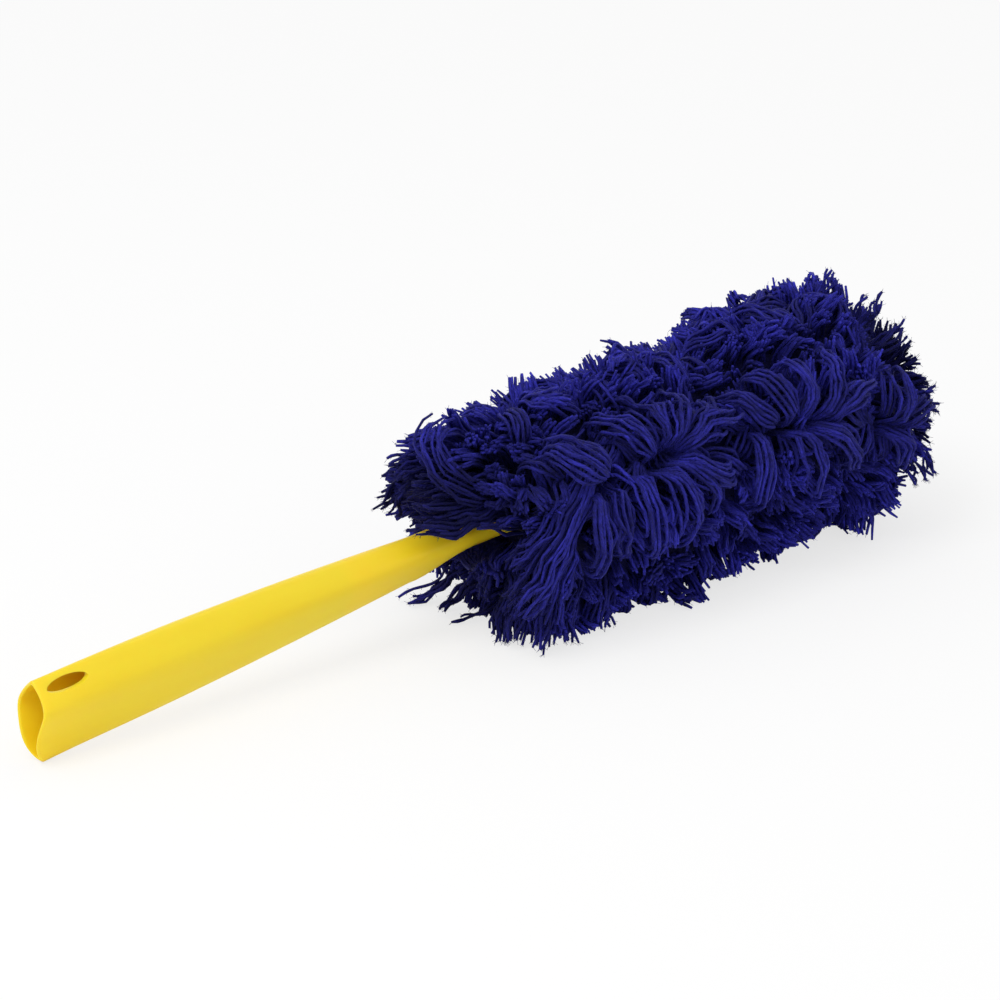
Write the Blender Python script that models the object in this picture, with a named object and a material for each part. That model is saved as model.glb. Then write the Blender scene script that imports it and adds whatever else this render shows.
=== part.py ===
"""Acrylic duster: a hollow moulded handle with a flat blade, and a yarn head on a fabric sleeve.

The duster lies as it is put down, on the butt of its grip and on the flattened underside of
its head. X runs from the butt to the tip, Z is up, and the origin is on the floor.
Lengths are in metres. The assembly is drawn straight, with the blade's middle plane as its
zero plane, and one empty then tilts it onto the floor.
"""
import math

import bmesh
import bpy
import numpy as np
from mathutils import Vector

# Handle: where its parts begin along X, and the blade
GRIP_LENGTH = 0.194
NECK_LENGTH = 0.052
BLADE_LENGTH = 0.216
BLADE_WIDTH = 0.030
BLADE_THICKNESS = 0.0044
BLADE_TIP_WIDTH = 0.024
BLADE_TIP_ROUNDING = 0.008
HANDLE_WALL = 0.0019
LIP_ROUNDING = 0.0005
HOLLOW_LENGTH = 0.158

# Grip section: crown and keel at the butt and at the neck, measured from the zero plane
BUTT_CROWN = -0.0047
NECK_CROWN = 0.0032
BUTT_KEEL = -0.0419
NECK_KEEL = -0.0170
NECK_LOW = -0.0058
KEEL_BELLY = 0.0013
BUTT_HALF_WIDTH = 0.0114
NECK_HALF_WIDTH = 0.0086

# Points that pull the half sections: shares of the half-width and of the depth from the crown
GRIP_PULLS = ((0.28, 0.0), (1.18, 0.265), (0.90, 0.56), (0.40, 1.0))
NECK_PULLS = ((0.55, 0.0), (1.20, 0.20), (1.05, 0.71), (0.50, 1.0))
BLADE_PULLS = ((0.80, 0.0), (1.008, 0.0), (1.008, 1.0), (0.80, 1.0))

# Curved end of the butt: how far its crown and keel stand back, and how far in the bend fades
BUTT_BULGE = 0.0046
BUTT_SLANT = 0.0011
BUTT_BEND_LENGTH = 0.030

# Hanging hole, an oval across the grip close under its crown
HOLE_LENGTH = 0.0204
HOLE_HEIGHT = 0.0060
HOLE_CENTRE_FROM_BUTT = 0.0152
HOLE_ROOF = 0.0015
HOLE_STEPS = 24

# Sleeve: the fabric pocket over the blade
FABRIC = 0.0012
POCKET_CLEARANCE_WIDE = 0.0012
POCKET_CLEARANCE_THICK = 0.0006
SEAM_ALLOWANCE = 0.0030
MOUTH_STANDOFF = 0.004
TIP_ROOM = 0.003
HEM_WIDTH = 0.010
HEM_THICKNESS = 0.0010

# Yarn head: how far it passes the sleeve's ends, its radius, and what the floor flattens
FRINGE_BEFORE_MOUTH = 0.027
FRINGE_PAST_TIP = 0.013
HEAD_RADIUS = 0.060
HEAD_FLATTENING = 0.009
HEAD_STATIONS = (0.0, 0.14, 0.31, 0.46, 0.52, 0.60, 0.69, 0.82, 1.0)
TOP_FULLNESS = (0.84, 0.83, 0.86, 0.86, 0.84, 0.95, 1.00, 1.015, 0.96)
LOW_FULLNESS = (1.03, 1.03, 1.02, 1.01, 0.985, 0.945, 0.92, 0.895, 0.86)
TOP_ANGLE = math.radians(105)
HEAD_START_TAPER = 0.17
HEAD_END_TAPER = 0.36
HEAD_END_LENGTH = 0.030
TOP_ROW_AHEAD = 0.014

# Bundles of a row: the gaps between them and the shape of their lobes
BUNDLES_PER_ROW = 6
BUNDLE_GAP = 0.0012
BUNDLE_GROOVE = 0.14
BUNDLE_SWELL = 0.025
BUNDLE_SHOULDER = 0.13
UNEVENNESS = 0.14
ROW_GAP_ANGLE = math.radians(2.8)
ROW_TWIST = math.radians(15)
ROW_INSET = 0.0022
SEAM_WEB = 0.0045
MOUTH_FLARE = 0.0082
MOUTH_FLARE_LENGTH = 0.044
MOUTH_FLARE_ACROSS = 0.3
TAPE_WIDTH = 0.0040
TAPE_THICKNESS = 0.0008
TAPE_ROOM = 0.0010

# Gap between pieces that touch
TOUCH = 0.0003

# Fineness of the drawn surfaces, as shares along the stretch that each list covers
RING_POINTS = 32
SHARP_ANGLE = math.radians(35)
GRIP_STATIONS = (0.0, 0.03, 0.07, 0.13, 0.19, 0.29, 0.42, 0.55, 0.68, 0.82, 0.92)
NECK_STATIONS = (0.0, 0.20, 0.40, 0.58, 0.68, 0.79, 0.90, 1.0)
HOLLOW_STATIONS = (0.05, 0.13, 0.25, 0.44, 0.63, 0.82, 1.0)
TIP_ANGLES = (30, 60, 80)
BUNDLE_STATIONS = (0.0, 0.12, 0.30, 0.50, 0.70, 0.88, 1.0)
LOBE_PLACES = (0.0, 0.05, 0.18, 0.36, 0.55, 0.74, 0.90, 0.98)

# Places that follow from the sizes
BLADE_START_X = GRIP_LENGTH + NECK_LENGTH
BLADE_END_X = BLADE_START_X + BLADE_LENGTH
NARROW_X = GRIP_LENGTH + NECK_LENGTH * NECK_STATIONS[3]
SLEEVE_MOUTH_X = BLADE_START_X + MOUTH_STANDOFF
SLEEVE_END_X = BLADE_END_X + TIP_ROOM
POCKET_HALF_HEIGHT = BLADE_THICKNESS / 2 + POCKET_CLEARANCE_THICK
POCKET_HALF_WIDTH = BLADE_WIDTH / 2 + POCKET_CLEARANCE_WIDE
PANEL_OUTSIDE = POCKET_HALF_HEIGHT + FABRIC
PANEL_HALF_WIDTH = POCKET_HALF_WIDTH + SEAM_ALLOWANCE
SEAM_HALF_WIDTH = TAPE_WIDTH / 2 + TAPE_ROOM
HEAD_START_X = SLEEVE_MOUTH_X - FRINGE_BEFORE_MOUTH
HEAD_END_X = SLEEVE_END_X + FRINGE_PAST_TIP
BUNDLE_PITCH = (HEAD_END_X - HEAD_START_X) / BUNDLES_PER_ROW
HEAD_MIDDLE_X = (HEAD_START_X + HEAD_END_X) / 2
HEAD_REST_HEIGHT = HEAD_RADIUS - HEAD_FLATTENING
TILT = math.atan2(HEAD_REST_HEIGHT + BUTT_KEEL, HEAD_MIDDLE_X)
ZERO_HEIGHT = -BUTT_KEEL * math.cos(TILT)


def clear_scene():
    """Remove every object that the file opened with."""
    for old in list(bpy.data.objects):
        bpy.data.objects.remove(old, do_unlink=True)


def make_collection(name):
    """Make a collection and link it to the scene."""
    collection = bpy.data.collections.new(name)
    bpy.context.scene.collection.children.link(collection)
    return collection


def make_material(name, colour, roughness, metallic=0.0):
    """Make a Principled BSDF material from a linear colour."""
    material = bpy.data.materials.new(name)
    material.use_nodes = True
    shader = material.node_tree.nodes["Principled BSDF"]
    shader.inputs["Base Color"].default_value = (*colour, 1.0)
    shader.inputs["Roughness"].default_value = roughness
    shader.inputs["Metallic"].default_value = metallic
    material.diffuse_color = (*colour, 1.0)
    return material


def make_empty(name, collection, location, parent=None, tilt=0.0):
    """Make an empty that carries a body."""
    empty = bpy.data.objects.new(name, None)
    collection.objects.link(empty)
    empty.location = location
    empty.rotation_euler = (0.0, -tilt, 0.0)
    empty.parent = parent
    return empty


def add_mesh_object(name, bm, collection, material, parent):
    """Turn a bmesh into a named object that faces outwards."""
    bmesh.ops.recalc_face_normals(bm, faces=bm.faces)
    mesh = bpy.data.meshes.new(name)
    bm.to_mesh(mesh)
    bm.free()
    mesh.materials.append(material)
    mesh.shade_smooth()
    mesh.set_sharp_from_angle(angle=SHARP_ANGLE)
    piece = bpy.data.objects.new(name, mesh)
    collection.objects.link(piece)
    piece.parent = parent
    return piece


def make_box(name, low, high, collection, material, parent):
    """Make a box between two corners, with its origin at its middle."""
    bm = bmesh.new()
    size = Vector(high) - Vector(low)
    bmesh.ops.create_cube(bm, size=1.0)
    bmesh.ops.scale(bm, vec=size, verts=bm.verts)
    piece = add_mesh_object(name, bm, collection, material, parent)
    piece.location = (Vector(low) + Vector(high)) / 2
    return piece


def blend(a, b, t):
    """Go from a to b with t, which is held between 0 and 1."""
    t = min(max(t, 0.0), 1.0)
    return a + (b - a) * t


def ease(t):
    """Smooth a share so that it starts and stops gently."""
    t = min(max(t, 0.0), 1.0)
    return t * t * (3 - 2 * t)


def spline_ring(control, count):
    """Sample a closed uniform cubic B-spline.

    control is the list of (y, z) points that pull the curve, and count the samples wanted.
    """
    points = []
    total = len(control)
    for index in range(count):
        place = index * total / count
        first = int(place)
        t = place - first
        weights = (
            (1 - t) ** 3 / 6,
            (3 * t ** 3 - 6 * t ** 2 + 4) / 6,
            (-3 * t ** 3 + 3 * t ** 2 + 3 * t + 1) / 6,
            t ** 3 / 6,
        )
        y = 0.0
        z = 0.0
        for step, weight in enumerate(weights):
            pull = control[(first + step - 1) % total]
            y += weight * pull[0]
            z += weight * pull[1]
        points.append((y, z))
    return points


def mirrored(half):
    """Close a half outline, listed from the crown down, with its mirror image."""
    crown = (0.0, half[0][1])
    keel = (0.0, half[-1][1])
    return [crown] + half + [keel] + [(-y, z) for y, z in reversed(half)]


def pulled_outline(pulls, half_width, crown, keel):
    """Scale a table of pulls to a half-width and to the height between crown and keel."""
    return [(half_width * across, blend(crown, keel, down)) for across, down in pulls]


def crown_height(x):
    """Give the height of the grip's crown at x."""
    return NECK_CROWN + (BUTT_CROWN - NECK_CROWN) * (1 - x / GRIP_LENGTH) ** 2


def grip_outline(x, inset):
    """Give the grip's kite section at x: a broad crown, two sides and a narrow keel."""
    share = x / GRIP_LENGTH
    crown = crown_height(x) - inset
    belly = KEEL_BELLY * math.sin(math.pi * min(share, 1.0))
    keel = blend(BUTT_KEEL, NECK_KEEL, share) - belly + inset
    half_width = blend(BUTT_HALF_WIDTH, NECK_HALF_WIDTH, share) - inset
    return pulled_outline(GRIP_PULLS, half_width, crown, keel)


def neck_outline():
    """Give the oval section where the neck is narrowest."""
    return pulled_outline(NECK_PULLS, NECK_HALF_WIDTH, NECK_CROWN, NECK_LOW)


def blade_outline(half_width):
    """Give the flat section of the blade with its rounded edges."""
    return pulled_outline(BLADE_PULLS, half_width, BLADE_THICKNESS / 2, -BLADE_THICKNESS / 2)


def mix_outline(a, b, t):
    """Mix two outlines point by point."""
    return [(blend(p[0], q[0], t), blend(p[1], q[1], t)) for p, q in zip(a, b)]


def handle_outline(x):
    """Give the handle's outer outline at x, from grip through neck to blade."""
    if x <= GRIP_LENGTH:
        return grip_outline(x, 0.0)
    if x <= NARROW_X:
        share = (x - GRIP_LENGTH) / (NARROW_X - GRIP_LENGTH)
        return mix_outline(grip_outline(GRIP_LENGTH, 0.0), neck_outline(), ease(share))
    if x <= BLADE_START_X:
        share = (x - NARROW_X) / (BLADE_START_X - NARROW_X)
        return mix_outline(neck_outline(), blade_outline(BLADE_WIDTH / 2), ease(share))
    share = (x - BLADE_START_X) / (BLADE_END_X - BLADE_START_X)
    return blade_outline(blend(BLADE_WIDTH, BLADE_TIP_WIDTH, share) / 2)


def butt_shift(z):
    """Say how far the curved end of the grip stands back at height z."""
    middle = (BUTT_CROWN + BUTT_KEEL) / 2
    half = (BUTT_CROWN - BUTT_KEEL) / 2
    share = (z - middle) / half
    return BUTT_BULGE * share ** 2 + BUTT_SLANT * share


def grip_ring(x, outline):
    """Place a section's points at x, bent to the butt's curve while x is close to it."""
    fade = 1 - ease(x / BUTT_BEND_LENGTH)
    ring = []
    for y, z in spline_ring(mirrored(outline), RING_POINTS):
        ring.append(Vector((x + butt_shift(z) * fade, y, z)))
    return ring


def bridge(bm, first, second):
    """Join two rings of vertices with a band of faces."""
    count = len(first)
    for index in range(count):
        following = (index + 1) % count
        bm.faces.new((first[index], first[following], second[following], second[index]))


def loft(bm, rings):
    """Make a tube through rings of points and give back its rings of vertices."""
    made = []
    for ring in rings:
        made.append([bm.verts.new(point) for point in ring])
    for first, second in zip(made, made[1:]):
        bridge(bm, first, second)
    return made


def outer_stations():
    """List the places along X where the handle's outside is drawn."""
    grip = [GRIP_LENGTH * share for share in GRIP_STATIONS]
    neck = [GRIP_LENGTH + NECK_LENGTH * share for share in NECK_STATIONS]
    return grip + neck + [BLADE_END_X - BLADE_TIP_ROUNDING]


def blade_tip_rings():
    """Round the blade's tip in plan."""
    rings = []
    for angle in TIP_ANGLES:
        turn = math.radians(angle)
        reach = BLADE_TIP_ROUNDING * math.sin(turn)
        half = BLADE_TIP_WIDTH / 2 - BLADE_TIP_ROUNDING * (1 - math.cos(turn))
        x = BLADE_END_X - BLADE_TIP_ROUNDING + reach
        outline = blade_outline(half)
        rings.append([Vector((x, y, z)) for y, z in spline_ring(mirrored(outline), RING_POINTS)])
    return rings


def hollow_rings():
    """Give the rings of the grip's hollow, from its round lip to its inner end."""
    rings = [grip_ring(0.0, grip_outline(0.0, HANDLE_WALL - LIP_ROUNDING))]
    for x in [LIP_ROUNDING * 2] + [HOLLOW_LENGTH * share for share in HOLLOW_STATIONS]:
        rings.append(grip_ring(x, grip_outline(x, HANDLE_WALL)))
    return rings


def make_handle(collection, material, parent):
    """Make the moulded handle: hollow grip, neck and flat blade, in one piece."""
    bm = bmesh.new()
    outer = [grip_ring(0.0, grip_outline(0.0, LIP_ROUNDING))]
    for x in outer_stations():
        outer.append(grip_ring(max(x, LIP_ROUNDING * 2), handle_outline(x)))
    outer += blade_tip_rings()
    outside = loft(bm, outer)
    bm.faces.new(outside[-1])
    inside = loft(bm, hollow_rings())
    bm.faces.new(inside[-1])
    bridge(bm, outside[0], inside[0])
    return add_mesh_object("handle", bm, collection, material, parent)


def oval_outline(length, height):
    """Draw an oval about its own middle."""
    outline = []
    for step in range(HOLE_STEPS):
        turn = 2 * math.pi * step / HOLE_STEPS
        outline.append((length / 2 * math.cos(turn), height / 2 * math.sin(turn)))
    return outline


def make_hole_cutter(collection, parent):
    """Make the oval cutter that passes across the grip under its crown."""
    bm = bmesh.new()
    reach = BUTT_HALF_WIDTH * 2
    outline = oval_outline(HOLE_LENGTH, HOLE_HEIGHT)
    made = loft(bm, [[Vector((x, y, z)) for x, z in outline] for y in (-reach, reach)])
    bm.faces.new(made[0])
    bm.faces.new(made[-1])
    bmesh.ops.recalc_face_normals(bm, faces=bm.faces)
    mesh = bpy.data.meshes.new("hanging_hole_cutter")
    bm.to_mesh(mesh)
    bm.free()
    cutter = bpy.data.objects.new("hanging_hole_cutter", mesh)
    collection.objects.link(cutter)
    cutter.parent = parent
    x = HOLE_CENTRE_FROM_BUTT
    cutter.location = (x, 0.0, crown_height(x) - HOLE_ROOF - HOLE_HEIGHT / 2)
    rise = crown_height(x + HOLE_LENGTH / 2) - crown_height(x - HOLE_LENGTH / 2)
    cutter.rotation_euler = (0.0, -math.atan2(rise, HOLE_LENGTH), 0.0)
    cutter.hide_render = True
    cutter.display_type = "WIRE"
    return cutter


def cut(piece, cutter):
    """Cut a piece with a cutter."""
    modifier = piece.modifiers.new("cut_" + cutter.name, "BOOLEAN")
    modifier.operation = "DIFFERENCE"
    modifier.object = cutter


def make_sleeve(collection, fabric, binding, parent):
    """Make the pocket: two panels, the seams along its edges and tip, and the mouth's hem."""
    x0 = SLEEVE_MOUTH_X
    x1 = SLEEVE_END_X
    inside = POCKET_HALF_HEIGHT
    wide = PANEL_HALF_WIDTH
    make_box("sleeve_top_panel", (x0, -wide, inside), (x1, wide, PANEL_OUTSIDE),
             collection, fabric, parent)
    make_box("sleeve_bottom_panel", (x0, -wide, -PANEL_OUTSIDE), (x1, wide, -inside),
             collection, fabric, parent)
    seam_inside = POCKET_HALF_WIDTH
    for name, side in (("sleeve_front_seam", -1), ("sleeve_back_seam", 1)):
        edges = sorted((side * seam_inside, side * (wide - TOUCH)))
        make_box(name, (x0, edges[0], TOUCH - inside), (x1 - TIP_ROOM, edges[1], inside - TOUCH),
                 collection, binding, parent)
    make_box("sleeve_tip_seam", (x1 - TIP_ROOM + TOUCH, -wide, TOUCH - inside),
             (x1, wide, inside - TOUCH), collection, binding, parent)
    make_mouth_hem(collection, binding, parent)


def make_mouth_hem(collection, material, parent):
    """Make the elastic hem, a flat ring round the mouth of the pocket."""
    inner_y = PANEL_HALF_WIDTH + TOUCH
    inner_z = PANEL_OUTSIDE + TOUCH
    corners = ((-1, -1), (1, -1), (1, 1), (-1, 1))
    bm = bmesh.new()
    rings = []
    for x, extra in ((0, 0), (0, HEM_THICKNESS), (HEM_WIDTH, HEM_THICKNESS), (HEM_WIDTH, 0)):
        ring = []
        for side, lift in corners:
            ring.append(Vector((x, side * (inner_y + extra), lift * (inner_z + extra))))
        rings.append(ring)
    made = loft(bm, rings)
    bridge(bm, made[-1], made[0])
    hem = add_mesh_object("sleeve_mouth_hem", bm, collection, material, parent)
    hem.location = (SLEEVE_MOUTH_X, 0.0, 0.0)


def polar(angle, radius):
    """Give (y, z) at an angle counted from the front, which is -Y, up over the top."""
    return (-radius * math.cos(angle), radius * math.sin(angle))


def head_envelope(x, angle):
    """Give the yarn's outer radius: fuller low at the handle's end and high at the tip."""
    share = (x - HEAD_START_X) / (HEAD_END_X - HEAD_START_X)
    high = np.interp(share, HEAD_STATIONS, TOP_FULLNESS)
    low = np.interp(share, HEAD_STATIONS, LOW_FULLNESS)
    lean = (1 + math.cos(angle - TOP_ANGLE)) / 2
    start_missing = min(max(1 - (x - HEAD_START_X) / HEAD_END_LENGTH, 0.0), 1.0)
    end_missing = max(1 - (HEAD_END_X - x) / HEAD_END_LENGTH, 0.0)
    taper = HEAD_START_TAPER * start_missing ** 2 + HEAD_END_TAPER * end_missing ** 2
    return HEAD_RADIUS * float(low + (high - low) * lean - taper)


def mouth_flare(x):
    """Give the extra room round the neck where the yarn stands past the sleeve's mouth."""
    share = (HEAD_START_X + MOUTH_FLARE_LENGTH - x) / MOUTH_FLARE_LENGTH
    return MOUTH_FLARE * min(max(share, 0.0), 1.0) ** 1.2


class YarnRow:
    """One row of looped yarn, sewn to one face or edge of the sleeve along its middle."""

    def __init__(self, name, turn, ahead, base_half, base_height):
        self.name = name
        self.turn = turn
        self.start = HEAD_START_X - ahead
        self.base_half = base_half
        self.base_height = base_height

    def to_section(self, across, out):
        """Turn a place across and out from the sleeve into (y, z)."""
        direction = polar(self.turn, 1.0)
        sideways = (direction[1], -direction[0])
        return (
            direction[0] * out + sideways[0] * across,
            direction[1] * out + sideways[1] * across,
        )

    def outline(self, x, fullness):
        """Give the section of a bundle at x: two lobes that part at the sewn line."""
        flare = mouth_flare(x)
        out = self.base_height + flare
        base = self.base_half + flare * MOUTH_FLARE_ACROSS
        edge = math.pi / 4 - ROW_GAP_ANGLE
        seam = self.turn + ROW_TWIST
        points = [self.to_section(-base, out)]
        for side in (-1, 1):
            for place in LOBE_PLACES[::-side]:
                angle = seam + side * edge * (1 - place)
                shoulder = abs(2 * place / LOBE_PLACES[-1] - 1) ** 5
                radius = head_envelope(x, angle) * fullness * (1 - BUNDLE_SHOULDER * shoulder)
                points.append(polar(angle, radius))
            if side < 0:
                web = out + SEAM_WEB
                points.append(self.to_section(-SEAM_HALF_WIDTH, web))
                points.append(self.to_section(SEAM_HALF_WIDTH, web))
        points.append(self.to_section(base, out))
        return points

    def bundle_edge(self, index):
        """Say where one bundle gives way to the next; the inner places are uneven."""
        if index == 0:
            return self.start
        edge = HEAD_START_X + BUNDLE_PITCH * index
        if index == BUNDLES_PER_ROW:
            return edge
        return edge + BUNDLE_PITCH * UNEVENNESS * math.sin(2.1 * index + 1.7 * self.turn)

    def make_bundle(self, index, collection, material, parent):
        """Make one bundle of the row, narrower at its two ends than in its middle."""
        start = self.bundle_edge(index)
        length = self.bundle_edge(index + 1) - start - BUNDLE_GAP
        swell = 1 + BUNDLE_SWELL * math.sin(2.4 * index + 3 * self.turn)
        bm = bmesh.new()
        rings = []
        for share in BUNDLE_STATIONS:
            x = start + BUNDLE_GAP / 2 + length * share
            fullness = 1 - BUNDLE_GROOVE * abs(2 * share - 1) ** 3
            outline = self.outline(x, fullness * swell)
            rings.append([Vector((x, y, z)) for y, z in outline])
        made = loft(bm, rings)
        ends = [bm.faces.new(made[0]), bm.faces.new(made[-1])]
        bm.normal_update()
        bmesh.ops.triangulate(bm, faces=ends, ngon_method="EAR_CLIP")
        flatten_on_floor(bm)
        name = f"{self.name}_yarn_bundle_{index + 1}"
        return add_mesh_object(name, bm, collection, material, parent)

    def make_tape(self, collection, material, parent):
        """Make the tape that is sewn over the yarn along the row's middle."""
        x0 = HEAD_START_X + BUNDLE_PITCH * (1 + UNEVENNESS)
        x1 = SLEEVE_END_X
        low = self.base_height + SEAM_WEB + TOUCH
        bm = bmesh.new()
        bmesh.ops.create_cube(bm, size=1.0)
        bmesh.ops.scale(bm, vec=(x1 - x0, TAPE_WIDTH, TAPE_THICKNESS), verts=bm.verts)
        tape = add_mesh_object(f"{self.name}_seam_tape", bm, collection, material, parent)
        y, z = self.to_section(0.0, low + TAPE_THICKNESS / 2)
        tape.location = ((x0 + x1) / 2, y, z)
        tape.rotation_euler = (self.turn - math.pi / 2, 0.0, 0.0)
        return tape


def flatten_on_floor(bm):
    """Cut off what would reach below the floor, and close the cut."""
    floor_point = Vector((0.0, 0.0, BUTT_KEEL))
    floor_normal = Vector((-math.sin(TILT), 0.0, -math.cos(TILT)))
    geometry = bm.verts[:] + bm.edges[:] + bm.faces[:]
    result = bmesh.ops.bisect_plane(
        bm, geom=geometry, plane_co=floor_point, plane_no=floor_normal, clear_outer=True)
    edges = [item for item in result["geom_cut"] if isinstance(item, bmesh.types.BMEdge)]
    if edges:
        bmesh.ops.holes_fill(bm, edges=edges, sides=0)


def yarn_rows():
    """List the four rows: on the sleeve's front edge, top, back edge and underside."""
    on_edge = (PANEL_OUTSIDE, PANEL_HALF_WIDTH + 2 * TOUCH)
    on_face = (PANEL_HALF_WIDTH - ROW_INSET, PANEL_OUTSIDE + 2 * TOUCH)
    return [
        YarnRow("front", 0.0, 0.0, *on_edge),
        YarnRow("top", math.pi / 2, TOP_ROW_AHEAD, *on_face),
        YarnRow("back", math.pi, 0.0, *on_edge),
        YarnRow("bottom", -math.pi / 2, 0.0, *on_face),
    ]


def stand_over_origin(frame, pieces):
    """Move the whole duster along the floor until its middle is over the origin."""
    bpy.context.view_layer.update()
    places = [piece.matrix_world @ vertex.co for piece in pieces for vertex in piece.data.vertices]
    for axis in (0, 1):
        reach = [place[axis] for place in places]
        frame.location[axis] -= (min(reach) + max(reach)) / 2
    bpy.context.view_layer.update()


def main():
    """Build the duster."""
    clear_scene()
    parts = make_collection("acrylic_duster")
    cutters = make_collection("cutters")
    plastic = make_material("yellow_plastic", (0.87, 0.62, 0.045), 0.38)
    yarn = make_material("blue_acrylic_yarn", (0.010, 0.010, 0.105), 0.95)
    cloth = make_material("blue_sleeve_cloth", (0.012, 0.012, 0.075), 0.9)
    binding = make_material("blue_binding", (0.008, 0.008, 0.055), 0.85)
    frame = make_empty("handle_frame", parts, (0.0, 0.0, ZERO_HEIGHT), tilt=TILT)
    head = make_empty("head_frame", parts, (0.0, 0.0, 0.0), parent=frame)
    handle = make_handle(parts, plastic, frame)
    cut(handle, make_hole_cutter(cutters, frame))
    make_sleeve(parts, cloth, binding, head)
    for row in yarn_rows():
        row.make_tape(parts, binding, head)
        for index in range(BUNDLES_PER_ROW):
            row.make_bundle(index, parts, yarn, head)
    stand_over_origin(frame, [piece for piece in parts.objects if piece.type == "MESH"])


main()
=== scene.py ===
"""Acrylic duster, dressed: a hollow moulded handle, and a washable head of looped yarn.

Lengths are in metres. Shapes are drawn in the handle's straight frame, in which X runs from the
butt to the tip and the zero plane is the middle of the blade, and are then laid in the row frame
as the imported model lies. Angles round the head count from the front, -Y, up over the top.
"""
import logging
import math
from dataclasses import dataclass, field
from enum import Enum

import bmesh
import bpy
import numpy as np
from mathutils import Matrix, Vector


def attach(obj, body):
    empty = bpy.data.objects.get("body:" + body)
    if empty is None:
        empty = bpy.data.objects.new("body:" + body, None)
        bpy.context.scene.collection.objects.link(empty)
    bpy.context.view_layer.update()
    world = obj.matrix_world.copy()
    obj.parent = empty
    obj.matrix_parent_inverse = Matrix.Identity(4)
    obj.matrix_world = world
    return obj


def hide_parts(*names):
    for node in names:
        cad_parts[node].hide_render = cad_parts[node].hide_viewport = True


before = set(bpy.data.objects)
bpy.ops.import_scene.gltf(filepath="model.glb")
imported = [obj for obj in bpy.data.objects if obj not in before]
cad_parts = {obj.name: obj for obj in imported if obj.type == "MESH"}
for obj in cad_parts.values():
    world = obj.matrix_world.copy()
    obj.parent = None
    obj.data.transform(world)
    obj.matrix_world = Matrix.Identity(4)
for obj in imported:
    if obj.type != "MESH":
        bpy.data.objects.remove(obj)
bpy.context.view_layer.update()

LOG = logging.getLogger("duster")
Array = np.ndarray
Rng = np.random.Generator
Piece = bpy.types.Object
Material = bpy.types.Material
Socket = bpy.types.NodeSocket
Point = tuple[float, float, float]
Shares = tuple[float, ...]


@dataclass(frozen=True)
class Lie:
    """Where the straight frame of the handle lies in the row frame."""

    origin: Point = (-0.2392749, 0.0000906, 0.0418859)
    tilt: float = 0.0259571

    def to_row(self, points: Array) -> Array:
        """Take points from the straight frame to the row frame.

        Args:
            points: An array whose last axis is x, y, z.

        Returns:
            The array in the row frame.
        """
        c, s = math.cos(self.tilt), math.sin(self.tilt)
        turn = np.array([[c, 0.0, -s], [0.0, 1.0, 0.0], [s, 0.0, c]])
        return points @ turn.T + np.array(self.origin)

    def floor_height(self, points: Array) -> Array:
        """Give each straight-frame point's height over the floor."""
        c, s = math.cos(self.tilt), math.sin(self.tilt)
        return points[..., 0] * s + points[..., 2] * c + self.origin[2]

    def lift(self, points: Array, clearance: float) -> Array:
        """Lift what lies lower than a clearance over the floor up to it."""
        missing = np.maximum(clearance - self.floor_height(points), 0.0)
        return points + missing[..., None] * np.array([0.0, 0.0, 1.0])


LIE = Lie()


class Bench:
    """The few moves of the modelling bench that every piece uses."""

    @staticmethod
    def deselect() -> None:
        """Deselect every object, out of edit mode."""
        if bpy.context.object and bpy.context.object.mode != "OBJECT":
            bpy.ops.object.mode_set(mode="OBJECT")
        bpy.ops.object.select_all(action="DESELECT")

    @staticmethod
    def pick(piece: Piece) -> None:
        """Make a piece the only selected one, and active.

        Args:
            piece: The piece.
        """
        Bench.deselect()
        piece.select_set(True)
        bpy.context.view_layer.objects.active = piece

    @staticmethod
    def apply(piece: Piece, kind: str, **settings: object) -> None:
        """Add a modifier to a piece and apply it.

        Args:
            piece: The piece that gets the modifier.
            kind: The modifier's type.
            **settings: The modifier's properties.
        """
        Bench.pick(piece)
        modifier = piece.modifiers.new(kind.lower(), kind)
        for name, value in settings.items():
            setattr(modifier, name, value)
        bpy.ops.object.modifier_apply(modifier=modifier.name)

    @staticmethod
    def settle(piece: Piece) -> None:
        """Lay a piece drawn in the straight frame in the row frame, with its place in its mesh.

        Args:
            piece: The piece.
        """
        Bench.pick(piece)
        bpy.ops.object.transform_apply(location=True, rotation=True, scale=True)
        Bench.move(piece, LIE.to_row(Bench.places(piece)))

    @staticmethod
    def places(piece: Piece) -> Array:
        """List a piece's vertices.

        Args:
            piece: The piece.

        Returns:
            Rows of x, y and z.
        """
        found = np.empty(len(piece.data.vertices) * 3)
        piece.data.vertices.foreach_get("co", found)
        return found.reshape(-1, 3)

    @staticmethod
    def move(piece: Piece, places: Array) -> None:
        """Move a piece's vertices to places."""
        piece.data.vertices.foreach_set("co", places.astype(np.float32).ravel())
        piece.data.update()

    @staticmethod
    def start(name: str, size: Point) -> Piece:
        """Name the primitive of size 1 that was just added, and give it its size.

        Args:
            name: The new piece's name.
            size: Its size along X, Y and Z.

        Returns:
            The piece.
        """
        bpy.ops.transform.resize(value=size)
        bpy.ops.object.transform_apply(scale=True)
        return Bench.name(bpy.context.object, name)

    @staticmethod
    def face_outwards(piece: Piece) -> None:
        """Turn every face of a closed piece outwards.

        Args:
            piece: The piece.
        """
        Bench.pick(piece)
        bpy.ops.object.mode_set(mode="EDIT")
        bpy.ops.mesh.select_all(action="SELECT")
        bpy.ops.mesh.normals_make_consistent(inside=False)
        bpy.ops.object.mode_set(mode="OBJECT")

    @staticmethod
    def name(piece: Piece, name: str) -> Piece:
        """Name a piece and its mesh."""
        piece.name = piece.data.name = name
        return piece


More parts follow.
